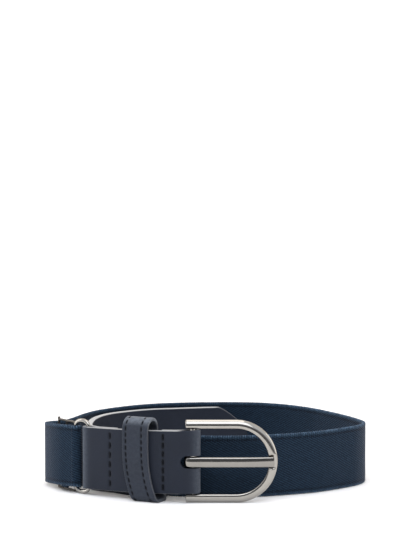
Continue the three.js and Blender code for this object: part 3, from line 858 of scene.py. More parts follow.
def tip_width_share(from_end):
    """Share of the full width left at a distance from the end: blunt at the end, swelling to
    the full width, with the last corners rounded as a quarter ellipse."""
    along = np.clip(from_end / TIP_POINT_LENGTH, 0, 1)
    swell = 1 - (1 - along) ** TIP_SWELL_POWER
    corner = 1 - np.clip(from_end / TIP_END_ROUNDING, 0, 1)
    return (TIP_BLUNT_SHARE + (1 - TIP_BLUNT_SHARE) * swell) * np.sqrt(1.0001 - corner**2)


def rod_cutter(place, direction, radius, length, sides=32):
    """A closed rod centred on a place, to cut a round hole with."""
    side = unit(np.cross(direction, (0.0, 0.0, 1.0)))
    up = np.cross(side, direction)
    path = place + np.outer([-length / 2, length / 2], direction)
    angles = np.linspace(0, math.tau, sides, endpoint=False)
    circle = radius * np.column_stack([np.cos(angles), np.sin(angles)])
    grid = swept(path, np.tile(side, (2, 1)), np.tile(up, (2, 1)), circle)
    return grid_mesh("cutter", grid, np.arange(2.0), np.arange(sides + 1.0))


tip_side = np.column_stack([left_of(aim_of(tip_path)), np.zeros(len(tip_path))])
tip_section = strip_section(TIP_THICKNESS, STRAP_WIDTH)
tip_share = tip_width_share(tip_runs[-1] - tip_runs)
tip_sections = tip_section * np.stack([np.ones_like(tip_share), tip_share], axis=-1)[:, None]
joint_heights = (np.arange(JOINT_STITCH_COUNT) - (JOINT_STITCH_COUNT - 1) / 2) * JOINT_STITCH_PITCH
joint_sink, joint_pit_shade_and_dirt = seam_sink(tip_runs[:, None], tip_sections[..., 1], JOINT_SEAM_RUNS,
                                   [joint_heights, joint_heights], JOINT_STITCH_LENGTH,
                                   JOINT_SEAM_WIDTH)
tip_outside = tip_section[:, 0] > TIP_THICKNESS / 2 - 0.05
tip_sections[..., 0] -= np.where(tip_outside, JOINT_SEAM_DEPTH * joint_sink, 0.0)
tip_up = np.broadcast_to([0.0, 0.0, 1.0], tip_side.shape)
tip_grid = swept(upright(tip_path, STRAP_WIDTH / 2), tip_side, tip_up, tip_sections)
foot_out = TIP_FOOT_OUT * np.exp(-((tip_runs - TIP_TURN_FROM_START) / TIP_TURN_REACH) ** 2)
below_top = 1 - tip_grid[..., 2] / STRAP_WIDTH
tip_grid += tip_side[:, None] * (foot_out[:, None] * below_top)[..., None]
before_point = (tip_runs[-1] - tip_runs - TIP_POINT_LENGTH + 2.0) / TIP_CORE_FADE
core_tone = (TIP_CORE_AT_POINT
             + (TIP_CORE_ALONG - TIP_CORE_AT_POINT) * smoothstep(before_point))
tip_cut = cut_edge_mark(tip_section, STRAP_WIDTH, TIP_CORE_SHOWS) * core_tone[:, None]
# The pits of the joint's stitches are marked, to be painted dark as shade and dirt.
tip_mesh = grid_mesh("tip_leather", tip_grid, tip_runs, around_of(tip_section),
                     marks={"cut_edge": tip_cut, "bend": 0.0,
                            "pit": np.where(tip_outside, joint_pit_shade_and_dirt, 0.0)})
hole_runs = tip_runs[-1] - HOLE_FROM_END - HOLE_SPACING * np.arange(HOLE_COUNT)
hole_places = upright(at_runs(tip_path, hole_runs), STRAP_WIDTH / 2)
hole_sides = np.column_stack([np.interp(hole_runs, tip_runs, part) for part in tip_side.T])
hole_cutters = [rod_cutter(place, unit(side), HOLE_DIAMETER / 2, 3 * TIP_THICKNESS)
                for place, side in zip(hole_places, hole_sides)]
tip_mesh = cut_away(tip_mesh, hole_cutters)
finished(tip_mesh, leather, "belt", "leather", "tip_strap", sharp=50.0)


# %% [markdown]
# ## Stitches
#
# Stitches are short pieces of thread that lie on the leather and dive into it at both ends.
# One stitch is a small round bar with a few dozen faces. A row's stitches are made one after
# another by the same formula, each at its own place, and are joined into a single mesh.

# %% Thread and a row of stitches
thread, tree = new_material("bonded polyester thread, black navy")
thread_uv = add(tree, "ShaderNodeUVMap", uv_map="strap")
twist = add(tree, "ShaderNodeTexWave", {
    "Vector": thread_uv, "Scale": 0.9, "Distortion": 0.6,
}, wave_type="BANDS", bands_direction="DIAGONAL")
thread_colour = add(tree, "ShaderNodeMix", {
    0: twist, 6: linear("#06080c"), 7: linear("#10141b"),
}, data_type="RGBA")
twist_bump = add(tree, "ShaderNodeBump", {
    "Strength": 0.6, "Distance": 0.06 * MM, "Height": twist,
})
thread_shader = add(tree, "ShaderNodeBsdfPrincipled", {
    "Base Color": thread_colour.outputs[2],
    "Roughness": 0.7,
    "Specular IOR Level": 0.1,
    "Normal": twist_bump,
})
add(tree, "ShaderNodeOutputMaterial", {"Surface": thread_shader})

THREAD = 1.0
STITCH_PLAY = 0.12
STITCH_SLANT = 0.1
STITCH_SLANT_BIAS = 0.6
STITCH_DIVE = 0.75


def stitch_row(name, places, runs_along, outwards, length, thread_width=THREAD):
    """One mesh of equal stitches. A stitch's point is its place, plus its share of the length
    along the seam, plus a circle of the thread's radius, less a dive into the leather that
    grows as the fourth power of the distance from the stitch's middle. Each is out of place
    and aslant by a little, as sewing is."""
    play = random.uniform(-1, 1, (2, len(places), 1))
    sideways = np.cross(runs_along, outwards)
    places = places + STITCH_PLAY * play[0] * runs_along
    runs_along = unit(runs_along + STITCH_SLANT * (play[1] - STITCH_SLANT_BIAS) * sideways)
    share = np.sin(np.linspace(-math.pi / 2, math.pi / 2, 9))
    angles = np.linspace(0, math.tau, 8, endpoint=False)
    radius = thread_width / 2 * np.sqrt(np.clip(1.02 - share**2, 0, 1)) ** 0.5
    dive = STITCH_DIVE * thread_width * share**4
    meshes = []
    for place, seam, outward in zip(places, runs_along, outwards):
        across = np.cross(seam, outward)
        path = place + np.outer(share * length / 2, seam) - np.outer(dive, outward)
        circle = np.column_stack([np.cos(angles), np.sin(angles)])
        sections = circle * radius[:, None, None]
        tile = (len(path), 1)
        grid = swept(path, np.tile(across, tile), np.tile(outward, tile), sections)
        meshes.append(grid_mesh("stitch", grid, share * length / 2,
                                np.linspace(0, thread_width * 3.1, 9)))
    return joined(name, meshes)


def row_across(line, run, side, offset, middle, heights):
    """A row across a strap that follows line, at a distance along it, on the face that lies
    offset to its left (side 1) or right (-1): places, directions and outward sides."""
    aim = aim_of(line)[np.searchsorted(run_of(line), run)]
    outward = side * np.append(left_of(aim), 0.0)
    surface = at_runs(line, [run])[0] + outward[:2] * offset
    tile = (len(heights), 1)
    places = np.column_stack([np.tile(surface, tile), middle + np.asarray(heights)])
    return places, np.tile([0.0, 0.0, 1.0], tile), np.tile(outward, tile)


# %% Stitches of the joint between elastic and tip
joint_outside = [row_across(tip_path, run, 1, TIP_THICKNESS / 2 - 0.8 * JOINT_SEAM_DEPTH,
                            STRAP_WIDTH / 2, joint_heights) for run in JOINT_SEAM_RUNS]
joint_inside = [row_across(coil_line, tip_start + run, -1, ELASTIC_THICKNESS / 2,
                           STRAP_WIDTH / 2, joint_heights) for run in JOINT_SEAM_RUNS]
for side_name, rows in (("outside", joint_outside), ("inside", joint_inside)):
    both_rows = [np.concatenate(part) for part in zip(*rows)]
    row_mesh = stitch_row(f"joint_stitches_{side_name}", *both_rows, JOINT_STITCH_LENGTH)
    finished(row_mesh, thread, "belt", "leather", sharp=80.0)


# %% [markdown]
# ## The buckle tab
#
# The tab is one strip of leather that folds round the ring at its left and round the buckle's
# bar at its right. Each end comes back behind the strip and is sewn down with one row of
# stitches. The line starts at one turned-in end and is followed right round to the other. The
# leather sinks a little along each seam, because the thread pulls it in.

# %% Path of the tab
TAB_REACH = 54.6
TAB_ANGLE_AT_RING = -33.0
TAB_ANGLE_AT_BAR = -4.0
TAB_TURN_IN_AT_RING = 17.0
TAB_TURN_IN_AT_BAR = 15.5
TAB_TURN_IN_BLEND = 7.0
TAB_LAYER_GAP = 0.5
BAR_DIAMETER = 3.5

hinge_point = np.array(frame["joints"][0]["pos_m"]) / MM
bar_centre = hinge_point[:2]
tab_ring_radius = WIRE / 2 + CLEARANCE + TAB_THICKNESS / 2
tab_bar_radius = BAR_DIAMETER / 2 + CLEARANCE + TAB_THICKNESS / 2
tab_start_aim = heading(TAB_ANGLE_AT_RING)
tab_end_aim = heading(TAB_ANGLE_AT_BAR)
tab_start = ring_right - left_of(tab_start_aim) * tab_ring_radius
tab_end = bar_centre - left_of(tab_end_aim) * tab_bar_radius


def bezier(a, b, c, d, count=400):
    """Cubic curve through a and d, pulled towards b and c."""
    t = np.linspace(0, 1, count)[:, None]
    return (1 - t)**3 * a + 3 * t * (1 - t)**2 * b + 3 * t**2 * (1 - t) * c + t**3 * d


tab_outer = evenly(bezier(tab_start, tab_start + tab_start_aim * TAB_REACH / 3,
                          tab_end - tab_end_aim * TAB_REACH / 3, tab_end), 0.25)


def turned_in(outer, fold_radius, length, side):
    """The end that comes back behind the strip: the outer line moved inwards by the fold's
    width at first, then closing on it."""
    run = run_of(outer)
    closed = TAB_THICKNESS + TAB_LAYER_GAP
    apart = 2 * fold_radius + (closed - 2 * fold_radius) * smoothstep(run / TAB_TURN_IN_BLEND)
    line = outer + side * left_of(aim_of(outer)) * apart[:, None]
    return line[run <= length]


behind_ring = turned_in(tab_outer, tab_ring_radius, TAB_TURN_IN_AT_RING, 1)
behind_bar = turned_in(tab_outer[::-1], tab_bar_radius, TAB_TURN_IN_AT_BAR, -1)
tab_round_ring = fold_round(ring_right, tab_ring_radius, -tab_start_aim, tab_start_aim, 1)
tab_round_bar = fold_round(bar_centre, tab_bar_radius, tab_end_aim, -tab_end_aim, 1)
tab_line = np.vstack([behind_ring[::-1][:-1], tab_round_ring, tab_outer[1:-1], tab_round_bar,
                      behind_bar[1:]])
tab_line = evenly(tab_line, LEATHER_STEP)
tab_run = run_of(tab_line)
ring_fold_run = run_of(behind_ring)[-1] + math.pi * tab_ring_radius / 2
outer_start_run = run_of(behind_ring)[-1] + math.pi * tab_ring_radius
outer_end_run = outer_start_run + run_of(tab_outer)[-1]
bar_fold_run = outer_end_run + math.pi * tab_bar_radius / 2
print(f"tab strip {tab_run[-1]:.1f} mm long before folding")

# %% Surface of the tab, with its seams and slot
TAB_SEAM_FROM_RING = 14.3
TAB_SEAM_FROM_BAR = 14.0
TAB_STITCH_LENGTH = 2.5
TAB_STITCH_COUNTS = (6, 7)
TAB_STITCH_PITCHES = (4.55, 3.95)
SEAM_DEPTH = 0.5
SEAM_WIDTH = 0.62
SLOT_LENGTH = 5.8
SLOT_HEIGHT = 5.9
PRONG_DROP = 0.1
TAB_CORE_SHOWS = 0.3
TAB_CORE_TONE = 0.6
TAB_END_SHOWS = 0.4
TAB_EDGE_SHADED_FROM_BAR = 9.0
TAB_EDGE_DIMMED_FROM_RING = 3.0
TAB_EDGE_SHADE_FADE_AT_BAR = 3.0
TAB_EDGE_DIM_FADE_AT_RING = 2.0
TAB_TONE_AT_RING = 0.35
TAB_WEAR_AND_HIGHLIGHT_BY_RING = 3.2
TAB_WEAR_AND_HIGHLIGHT_BY_BAR = 3.4
TAB_WEAR_AND_HIGHLIGHT_AT_BAR = 0.6

tab_section = strip_section(TAB_THICKNESS, STRAP_WIDTH)
seam_runs = (outer_start_run + TAB_SEAM_FROM_RING, outer_end_run - TAB_SEAM_FROM_BAR)
stitch_heights = [(np.arange(count) - (count - 1) / 2) * pitch
                  for count, pitch in zip(TAB_STITCH_COUNTS, TAB_STITCH_PITCHES)]


def tab_lift_at(points):
    """Height of the lower edge: a straight climb from the ring to the bar."""
    share = (points[:, 0] - ring_right[0]) / (bar_centre[0] - ring_right[0])
    return lift_at_ring + (lift_at_bar - lift_at_ring) * np.clip(share, 0, 1)


tab_t = np.broadcast_to(tab_section[:, 0], (len(tab_line), len(tab_section)))
tab_w = np.broadcast_to(tab_section[:, 1], tab_t.shape)
sink, pits = seam_sink(tab_run[:, None], tab_w, seam_runs, stitch_heights, TAB_STITCH_LENGTH,
                       SEAM_WIDTH)
outer_face = tab_t < -TAB_THICKNESS / 2 + 0.05
tab_sunk = tab_t + np.where(outer_face, SEAM_DEPTH * sink, 0.0)
tab_sections = np.stack([tab_sunk, tab_w], axis=-1)
# Pits beside the tab's stitches, marked to be painted dark as shade and dirt.
tab_pit_shade_and_dirt = np.where(outer_face, pits, 0.0)
tab_side = np.column_stack([left_of(aim_of(tab_line)), np.zeros(len(tab_line))])
tab_up = np.broadcast_to([0.0, 0.0, 1.0], tab_side.shape)
tab_grid = swept(upright(tab_line, tab_lift_at(tab_line) + STRAP_WIDTH / 2), tab_side, tab_up,
                 tab_sections)
from_tab_end = np.minimum(tab_run, tab_run[-1] - tab_run)
tab_ends = np.clip(1.3 - from_tab_end / TAB_END_SHOWS, 0, 1)[:, None]
tab_cut = np.maximum(cut_edge_mark(tab_section, STRAP_WIDTH, TAB_CORE_SHOWS), tab_ends)
# Within a few millimetres of the bar's fold the pale cut edge is painted out, as painted shade
# under the rail; near the ring's fold it is dimmed.
past_edge_shade_at_bar = np.abs(tab_run - bar_fold_run) - TAB_EDGE_SHADED_FROM_BAR
past_edge_dim_at_ring = np.abs(tab_run - ring_fold_run) - TAB_EDGE_DIMMED_FROM_RING
core_tone = smoothstep(past_edge_shade_at_bar / TAB_EDGE_SHADE_FADE_AT_BAR)
core_tone *= TAB_TONE_AT_RING + (1 - TAB_TONE_AT_RING) * smoothstep(
    past_edge_dim_at_ring / TAB_EDGE_DIM_FADE_AT_RING)
tab_cut = TAB_CORE_TONE * tab_cut * core_tone[:, None]
# The folds round the ring and the bar are lightened: partly the coat's stretch, partly a painted
# highlight where the folds turn to the light.
ring_fold_wear_and_highlight = np.exp(-((tab_run - ring_fold_run) / TAB_WEAR_AND_HIGHLIGHT_BY_RING) ** 2)
bar_fold_wear_and_highlight = TAB_WEAR_AND_HIGHLIGHT_AT_BAR * np.exp(-((tab_run - bar_fold_run) / TAB_WEAR_AND_HIGHLIGHT_BY_BAR) ** 2)
tab_fold_wear_and_highlight = (ring_fold_wear_and_highlight + bar_fold_wear_and_highlight)[:, None]
tab_mesh = grid_mesh("tab_leather", tab_grid, tab_run, around_of(tab_section),
                     marks={"cut_edge": tab_cut, "bend": tab_fold_wear_and_highlight, "pit": tab_pit_shade_and_dirt})


def slot_cutter():
    """A bar with a half-round left end, taken through the fold from front to back."""
    radius = SLOT_HEIGHT / 2
    depth = 4 * (tab_bar_radius + TAB_THICKNESS)
    reach = SLOT_LENGTH + tab_bar_radius + TAB_THICKNESS
    middle = hinge_point[2] - PRONG_DROP / 2
    angles = np.linspace(math.pi / 2, 3 * math.pi / 2, 25)
    round_end = radius * np.column_stack([1 + np.cos(angles), np.sin(angles)])
    outline = np.vstack([round_end, [(reach, -radius), (reach, radius)]])
    outline += (bar_centre[0] - SLOT_LENGTH, middle)
    path = np.array([(0.0, bar_centre[1] - depth / 2, 0.0), (0.0, bar_centre[1] + depth / 2, 0.0)])
    right = np.tile([1.0, 0.0, 0.0], (2, 1))
    up = np.tile([0.0, 0.0, 1.0], (2, 1))
    return grid_mesh("slot", swept(path, right, up, outline), np.arange(2.0),
                     np.arange(len(outline) + 1.0))


tab_mesh = cut_away(tab_mesh, [slot_cutter()])
finished(tab_mesh, leather, "belt", "leather", "buckle_tab", sharp=50.0)

# %% Stitches of the tab
for side_name, seam_run, heights in zip(("ring", "bar"), seam_runs, stitch_heights):
    middle = tab_lift_at(at_runs(tab_line, [seam_run]))[0] + STRAP_WIDTH / 2
    row = row_across(tab_line, seam_run, -1, TAB_THICKNESS / 2 - 0.8 * SEAM_DEPTH, middle, heights)
    row_mesh = stitch_row(f"tab_stitches_{side_name}", *row, TAB_STITCH_LENGTH)
    finished(row_mesh, thread, "belt", "leather", sharp=80.0)


# %% [markdown]
# ## The keeper
#
# The keeper is a loop of the same leather that slides on the tab and holds the belt's end
# down. From the side it is a tall arch with a flatter foot. The strip's section is carried
# round that arch, and then the lower part is pushed sideways, because the real loop sits a
# little crooked on its strap. Two rows of stitches run right round it.

# %% Surface of the keeper
KEEPER_WIDTH = 13.5
KEEPER_THICKNESS = 1.6
KEEPER_DEPTH = 11.6
KEEPER_HEIGHT = STRAP_WIDTH + 9.6
KEEPER_FRONT_GAP = 0.9
KEEPER_PLACE = 0.52
KEEPER_LEAN = 5.2
KEEPER_LEAN_SHARE = 0.68
KEEPER_LEAN_POWER = 2.4
KEEPER_FOOT_RADIUS = 2.2
KEEPER_SEAMS = (-KEEPER_WIDTH / 2 + 1.9, KEEPER_WIDTH / 2 - 3.3)
KEEPER_STITCH_PITCH = 3.05
KEEPER_STITCH_LENGTH = 1.9
KEEPER_SEAM_DEPTH = 0.3
KEEPER_SEAM_WIDTH = 0.42
KEEPER_THREAD = 0.7
KEEPER_FACE_STEP = 0.42
KEEPER_CORE_SHOWS = 0.12
KEEPER_CORE_TONE = 0.1
KEEPER_WEAR = 0.12
KEEPER_CREST_HIGHLIGHT = 4.2
KEEPER_CREST_HIGHLIGHT_FADE = 3.0


def arc(centre, radius, start, stop, steps):
    """Points on a circle between two angles in degrees."""
    angles = np.radians(np.linspace(start, stop, steps))
    return np.array(centre) + radius * np.column_stack([np.cos(angles), np.sin(angles)])


def keeper_path():
    """The loop's middle line from the side, as (depth, height), anticlockwise from the middle
    of its back."""
    half = (KEEPER_DEPTH - KEEPER_THICKNESS) / 2
    low, high = KEEPER_THICKNESS / 2, KEEPER_HEIGHT - KEEPER_THICKNESS / 2
    foot = KEEPER_FOOT_RADIUS
    outline = np.vstack([
        [(half, KEEPER_HEIGHT / 2)],
        arc((0, high - half), half, 0, 180, 40),
        arc((foot - half, low + foot), foot, 180, 270, 12),
        arc((half - foot, low + foot), foot, 270, 360, 12),
        [(half, KEEPER_HEIGHT / 2)],
    ])
    return evenly(outline, LEATHER_STEP)[:-1]


tab_outer_run = run_of(tab_outer)
keeper_at = at_runs(tab_outer, [KEEPER_PLACE * tab_outer_run[-1]])[0]
keeper_aim = aim_of(tab_outer)[np.searchsorted(tab_outer_run, KEEPER_PLACE * tab_outer_run[-1])]
keeper_behind = KEEPER_DEPTH / 2 - KEEPER_THICKNESS - KEEPER_FRONT_GAP - TAB_THICKNESS / 2
keeper_centre = keeper_at + left_of(keeper_aim) * keeper_behind
keeper_loop = keeper_path()
keeper_back = np.vstack([keeper_loop[-1:], keeper_loop, keeper_loop[:1]])
keeper_along = unit(np.gradient(keeper_back, axis=0))[1:-1]
keeper_out = -left_of(keeper_along)


def keeper_place(depth, height, along):
    """A point given by its depth, height and distance along the strap, set on the tab. Below
    its upper third the loop leans along the strap, more and more towards the foot."""
    below = 1 - height / (KEEPER_HEIGHT * KEEPER_LEAN_SHARE)
    lean = KEEPER_LEAN * np.maximum(below, 0) ** KEEPER_LEAN_POWER
    plan = (keeper_centre + (along + lean)[..., None] * keeper_aim
            + depth[..., None] * left_of(keeper_aim))
    return np.concatenate([plan, height[..., None]], axis=-1)


keeper_section = strip_section(KEEPER_THICKNESS, KEEPER_WIDTH, step=KEEPER_FACE_STEP)
keeper_run = run_of(np.vstack([keeper_loop, keeper_loop[:1]]))
keeper_t = np.broadcast_to(keeper_section[:, 0], (len(keeper_loop), len(keeper_section)))
keeper_w = np.broadcast_to(keeper_section[:, 1], keeper_t.shape)
keeper_stitch_runs = np.arange(KEEPER_STITCH_PITCH / 2, keeper_run[-1], KEEPER_STITCH_PITCH)
keeper_sink, keeper_pit_shade_and_dirt = seam_sink(keeper_w, keeper_run[:-1, None], KEEPER_SEAMS,
                                     [keeper_stitch_runs, keeper_stitch_runs],
                                     KEEPER_STITCH_LENGTH, KEEPER_SEAM_WIDTH)
keeper_outside = keeper_t > KEEPER_THICKNESS / 2 - 0.05
keeper_sunk = keeper_t - np.where(keeper_outside, KEEPER_SEAM_DEPTH * keeper_sink, 0.0)
# Pits beside the keeper's stitches, marked to be painted dark as shade and dirt.
keeper_pit_shade_and_dirt = np.where(keeper_outside, keeper_pit_shade_and_dirt, 0.0)
keeper_depths = keeper_loop[:, None, 0] + keeper_sunk * keeper_out[:, None, 0]
keeper_heights = keeper_loop[:, None, 1] + keeper_sunk * keeper_out[:, None, 1]
keeper_grid = keeper_place(keeper_depths, keeper_heights, keeper_w)
keeper_cut = KEEPER_CORE_TONE * cut_edge_mark(keeper_section, KEEPER_WIDTH, KEEPER_CORE_SHOWS,
                                              KEEPER_CORE_SHOWS)
# The bend mark paints the keeper's upper part lighter: mostly a painted highlight on its crest,
# with a little wear all round.
into_crest_highlight = (keeper_loop[:, 1] - (KEEPER_HEIGHT - KEEPER_CREST_HIGHLIGHT)) / KEEPER_CREST_HIGHLIGHT_FADE
keeper_wear_and_crest_highlight = (KEEPER_WEAR + (1 - KEEPER_WEAR) * smoothstep(into_crest_highlight))[:, None]
keeper_mesh = grid_mesh("keeper_leather", keeper_grid, keeper_run, around_of(keeper_section),
                        ring=True, marks={"cut_edge": keeper_cut, "bend": keeper_wear_and_crest_highlight,
                                          "pit": keeper_pit_shade_and_dirt})
finished(keeper_mesh, leather, "belt", "leather", "keeper_loop", sharp=50.0)

# %% Stitches of the keeper
def keeper_stitches(seam):
    """Places, directions and outward sides of one row that runs right round the loop."""
    closed = np.vstack([keeper_loop, keeper_loop[:1]])
    points = at_runs(closed, keeper_stitch_runs)
    ahead = at_runs(closed, keeper_stitch_runs + 0.4)
    along = unit(ahead - points)
    out = -left_of(along)
    raised = points + out * (KEEPER_THICKNESS / 2 - KEEPER_SEAM_DEPTH * 0.8)
    seam_w = np.full(len(points), seam)
    here = keeper_place(raised[:, 0], raised[:, 1], seam_w)
    further = keeper_place((raised + along * 0.5)[:, 0], (raised + along * 0.5)[:, 1], seam_w)
    outside = keeper_place((raised + out * 0.5)[:, 0], (raised + out * 0.5)[:, 1], seam_w)
    return here, unit(further - here), unit(outside - here)


for side_name, seam in zip(("left", "right"), KEEPER_SEAMS):
    row_mesh = stitch_row(f"keeper_stitches_{side_name}", *keeper_stitches(seam),
                          KEEPER_STITCH_LENGTH, thread_width=KEEPER_THREAD)
    finished(row_mesh, thread, "belt", "leather", sharp=80.0)


# %% [markdown]
# ## Nickel
#
# The frame is cast in zinc, the ring and prong are bent from steel wire and strip, and all
# are plated with nickel and rubbed to a satin. What the eye gets from that is a warm light
# grey whose reflections are soft, with very fine lines from the rubbing. The prong gets a
# darker copy of the plate, as painted shade for the dim floor that its face reflects. The
# slide gets a dark, duller grey, as painted shade for the shadow that it stands in. A metal
# keeps the shader's default index of refraction, since its colour already says how it reflects.

# %% Satin nickel plate
def nickel_plate(name, dark, light):
    """Nickel rubbed to a satin, between two greys that clouds of handling mix."""
    material, tree = new_material(name)
    spot = add(tree, "ShaderNodeTexCoord")
    rubbed = add(tree, "ShaderNodeMapping", {
        "Vector": spot.outputs["Object"], "Scale": (220.0, 4200.0, 4200.0),
    })
    lines = add(tree, "ShaderNodeTexNoise", {"Vector": rubbed, "Scale": 1.0, "Detail": 3.0})
    smudge = add(tree, "ShaderNodeTexNoise", {
        "Vector": spot.outputs["Object"], "Scale": 160.0, "Detail": 3.0,
    })
    colour = add(tree, "ShaderNodeMix", {
        0: smudge, 6: linear(dark), 7: linear(light),
    }, data_type="RGBA")
    roughness = add(tree, "ShaderNodeMapRange", {
        "Value": lines, "From Min": 0.3, "From Max": 0.7, "To Min": 0.08, "To Max": 0.14,
    })
    bump = add(tree, "ShaderNodeBump", {
        "Strength": 0.15, "Distance": 0.02 * MM, "Height": lines,
    })
    shader = add(tree, "ShaderNodeBsdfPrincipled", {
        "Base Color": colour.outputs[2],
        "Metallic": 1.0,
        "Roughness": roughness,
        "Normal": bump,
    })
    add(tree, "ShaderNodeOutputMaterial", {"Surface": shader})
    return material


nickel = nickel_plate("satin nickel plate, rubbed", "#989590", "#a5a29c")
# The prong's copy of the plate is darker: painted shade for the dim floor that its face reflects.
prong_nickel_painted_dark = nickel_plate("satin nickel plate on rolled strip", "#83817d", "#918e89")

# %% Dark grey metal for the slide, as painted shade
slide_metal_painted_dark, tree = new_material("gunmetal plate on stamped steel")
spot = add(tree, "ShaderNodeTexCoord")
clouded = add(tree, "ShaderNodeTexNoise", {
    "Vector": spot.outputs["Object"], "Scale": 500.0, "Detail": 4.0,
})
# The dark grey stands for the shade that the slide stands in: painted shade on plated metal.
slide_painted_dark_colour = add(tree, "ShaderNodeMix", {
    0: clouded, 6: linear("#4b4947"), 7: linear("#66635f"),
}, data_type="RGBA")
slide_metal_roughness = add(tree, "ShaderNodeMapRange", {
    "Value": clouded, "From Min": 0.3, "From Max": 0.7, "To Min": 0.24, "To Max": 0.36,
})
slide_metal_shader = add(tree, "ShaderNodeBsdfPrincipled", {
    "Base Color": slide_painted_dark_colour.outputs[2],
    "Metallic": 1.0,
    "Roughness": slide_metal_roughness,
})
add(tree, "ShaderNodeOutputMaterial", {"Surface": slide_metal_shader})

# %% [markdown]
# ## The buckle frame
#
# The frame is a horseshoe: two straight rails joined by a half circle, and an upright bar
# between the rails near their free ends. Its rail is not a plain round. The front has a soft
# ridge a third of the way from the inner edge, with a wide slope outside it and a narrow one
# inside. The ridge is what draws a thin dark line between two bright bands. The prong's end
# rests in a shallow dip in the middle of the bend.

# %% Surface of the frame
RAIL_WIDTH = 4.1
RAIL_THICKNESS = 3.4
FRAME_REACH = 39.9
RAIL_END_PAST_BAR = 3.4
REST_DEPTH = 0.8
RAIL_END_ROUNDING = 0.7
PRONG_WIDTH = 4.7
REST_WIDTH = 5.6
REST_WALL = 1.1
REST_FROM_END = 8.0
RAIL_STEP = 0.35
STRAP_PLAY = 1.0
BAR_WAIST = 0.4
BAR_WAIST_FROM = 0.78
BAR_WAIST_STEP = 0.06
BAR_POINTS = 41

frame_height = STRAP_WIDTH + 2 * RAIL_WIDTH + STRAP_PLAY
frame_middle = frame_height / 2
bend_radius = (frame_height - RAIL_WIDTH) / 2


def horseshoe():
    """The rail's middle line as (along, height), from the lower free end round to the upper,
    with closer points at the two ends for their rounding."""
    centre = (FRAME_REACH - RAIL_WIDTH / 2 - bend_radius, frame_middle)
    line = np.vstack([
        [(-RAIL_END_PAST_BAR, frame_middle - bend_radius)],
        arc(centre, bend_radius, -90, 90, 120),
        [(-RAIL_END_PAST_BAR, frame_middle + bend_radius)],
    ])
    total = run_of(line)[-1]
    close = RAIL_END_ROUNDING * (1 - np.cos(np.linspace(0, math.pi / 2, 7)))
    middle = np.linspace(RAIL_END_ROUNDING, total - RAIL_END_ROUNDING, round(total / RAIL_STEP))
    return at_runs(line, np.concatenate([close[:-1], middle, (total - close[::-1])[1:]]))


RAIL_PROFILE = np.array([
    (1.0, 0.05), (0.96, -0.14), (0.85, -0.32), (0.7, -0.51), (0.5, -0.7), (0.25, -0.847),
    (0.0, -0.936), (-0.2, -0.98), (-0.4, -1.0), (-0.6, -0.965), (-0.8, -0.905), (-0.94, -0.78),
    (-1.0, -0.5),
    (-1.0, 0.0), (-0.93, 0.5), (-0.62, 0.9), (0.0, 1.0), (0.62, 0.9), (0.93, 0.55),
])


def rail_section(sides=72):
    """A smooth closed line through the profile, given as shares of half the rail's width,
    counted outwards, and of half its thickness, counted backwards."""
    half_size = np.array([RAIL_WIDTH / 2, RAIL_THICKNESS / 2])
    line = smooth_line(RAIL_PROFILE * half_size, 0.02, closed=True)
    return at_runs(line, run_of(line)[-1] * np.arange(sides) / sides)


rail_line = horseshoe()
rail_run = run_of(rail_line)
rail_aim = aim_of(rail_line)
rail_out = -left_of(rail_aim)
from_rail_end = np.minimum(rail_run, rail_run[-1] - rail_run)
closing = 1 - np.clip(from_rail_end / RAIL_END_ROUNDING, 0, 1)
rail_scale = 1 - RAIL_END_ROUNDING / (RAIL_WIDTH / 2) * (1 - np.sqrt(1 - closing**2))
rail_sections = rail_section() * rail_scale[:, None, None]
prong_height = frame_middle - PRONG_DROP
at_bend = smoothstep(rail_line[:, 0] - FRAME_REACH + REST_FROM_END)
past_rest = np.abs(rail_line[:, 1] - prong_height) - REST_WIDTH / 2
rest_share = 1 - smoothstep((past_rest + 0.1) / REST_WALL)
rest_floor = -RAIL_THICKNESS / 2 + REST_DEPTH * (rest_share * at_bend)[:, None]
rail_sections[..., 1] = np.maximum(rail_sections[..., 1], rest_floor)
rail_path = np.column_stack([
    bar_centre[0] + rail_line[:, 0], np.full(len(rail_line), bar_centre[1]), rail_line[:, 1],
])
rail_side = np.column_stack([rail_out[:, 0], np.zeros(len(rail_line)), rail_out[:, 1]])
rail_depth = np.broadcast_to([0.0, 1.0, 0.0], rail_side.shape)
rail_grid = swept(rail_path, rail_side, rail_depth, rail_sections)
rail_around = np.arange(rail_grid.shape[1] + 1.0)
rail_mesh = grid_mesh("rail", rail_grid, rail_run, rail_around)

bar_angles = np.linspace(0, math.tau, 40, endpoint=False)
bar_circle = BAR_DIAMETER / 2 * np.column_stack([np.cos(bar_angles), np.sin(bar_angles)])
bar_share = np.linspace(-1, 1, BAR_POINTS)
bar_path = np.array([*bar_centre, frame_middle]) + np.outer(bend_radius * bar_share, [0, 0, 1])
bar_waist = 1 - BAR_WAIST * smoothstep((np.abs(bar_share) - BAR_WAIST_FROM) / BAR_WAIST_STEP)
bar_tile = (BAR_POINTS, 1)
bar_grid = swept(bar_path, np.tile([1.0, 0.0, 0.0], bar_tile), np.tile([0.0, 1.0, 0.0], bar_tile),
                 bar_circle * bar_waist[:, None, None])
bar_mesh = grid_mesh("bar", bar_grid, np.arange(float(BAR_POINTS)),
                     np.arange(len(bar_circle) + 1.0))
finished(joined("buckle_rail", [rail_mesh, bar_mesh]), nickel, "buckle", "nickel",
         "buckle_frame", sharp=60.0)

# %% [markdown]
# ## The prong
#
# The prong is a strip of steel, rolled at one end into an eye round the bar and pressed in a
# little at the other, where it lies in the frame's dip. Its path is the roll, the straight
# and the bend, one after the other, and its section is a strip with a slightly domed face.

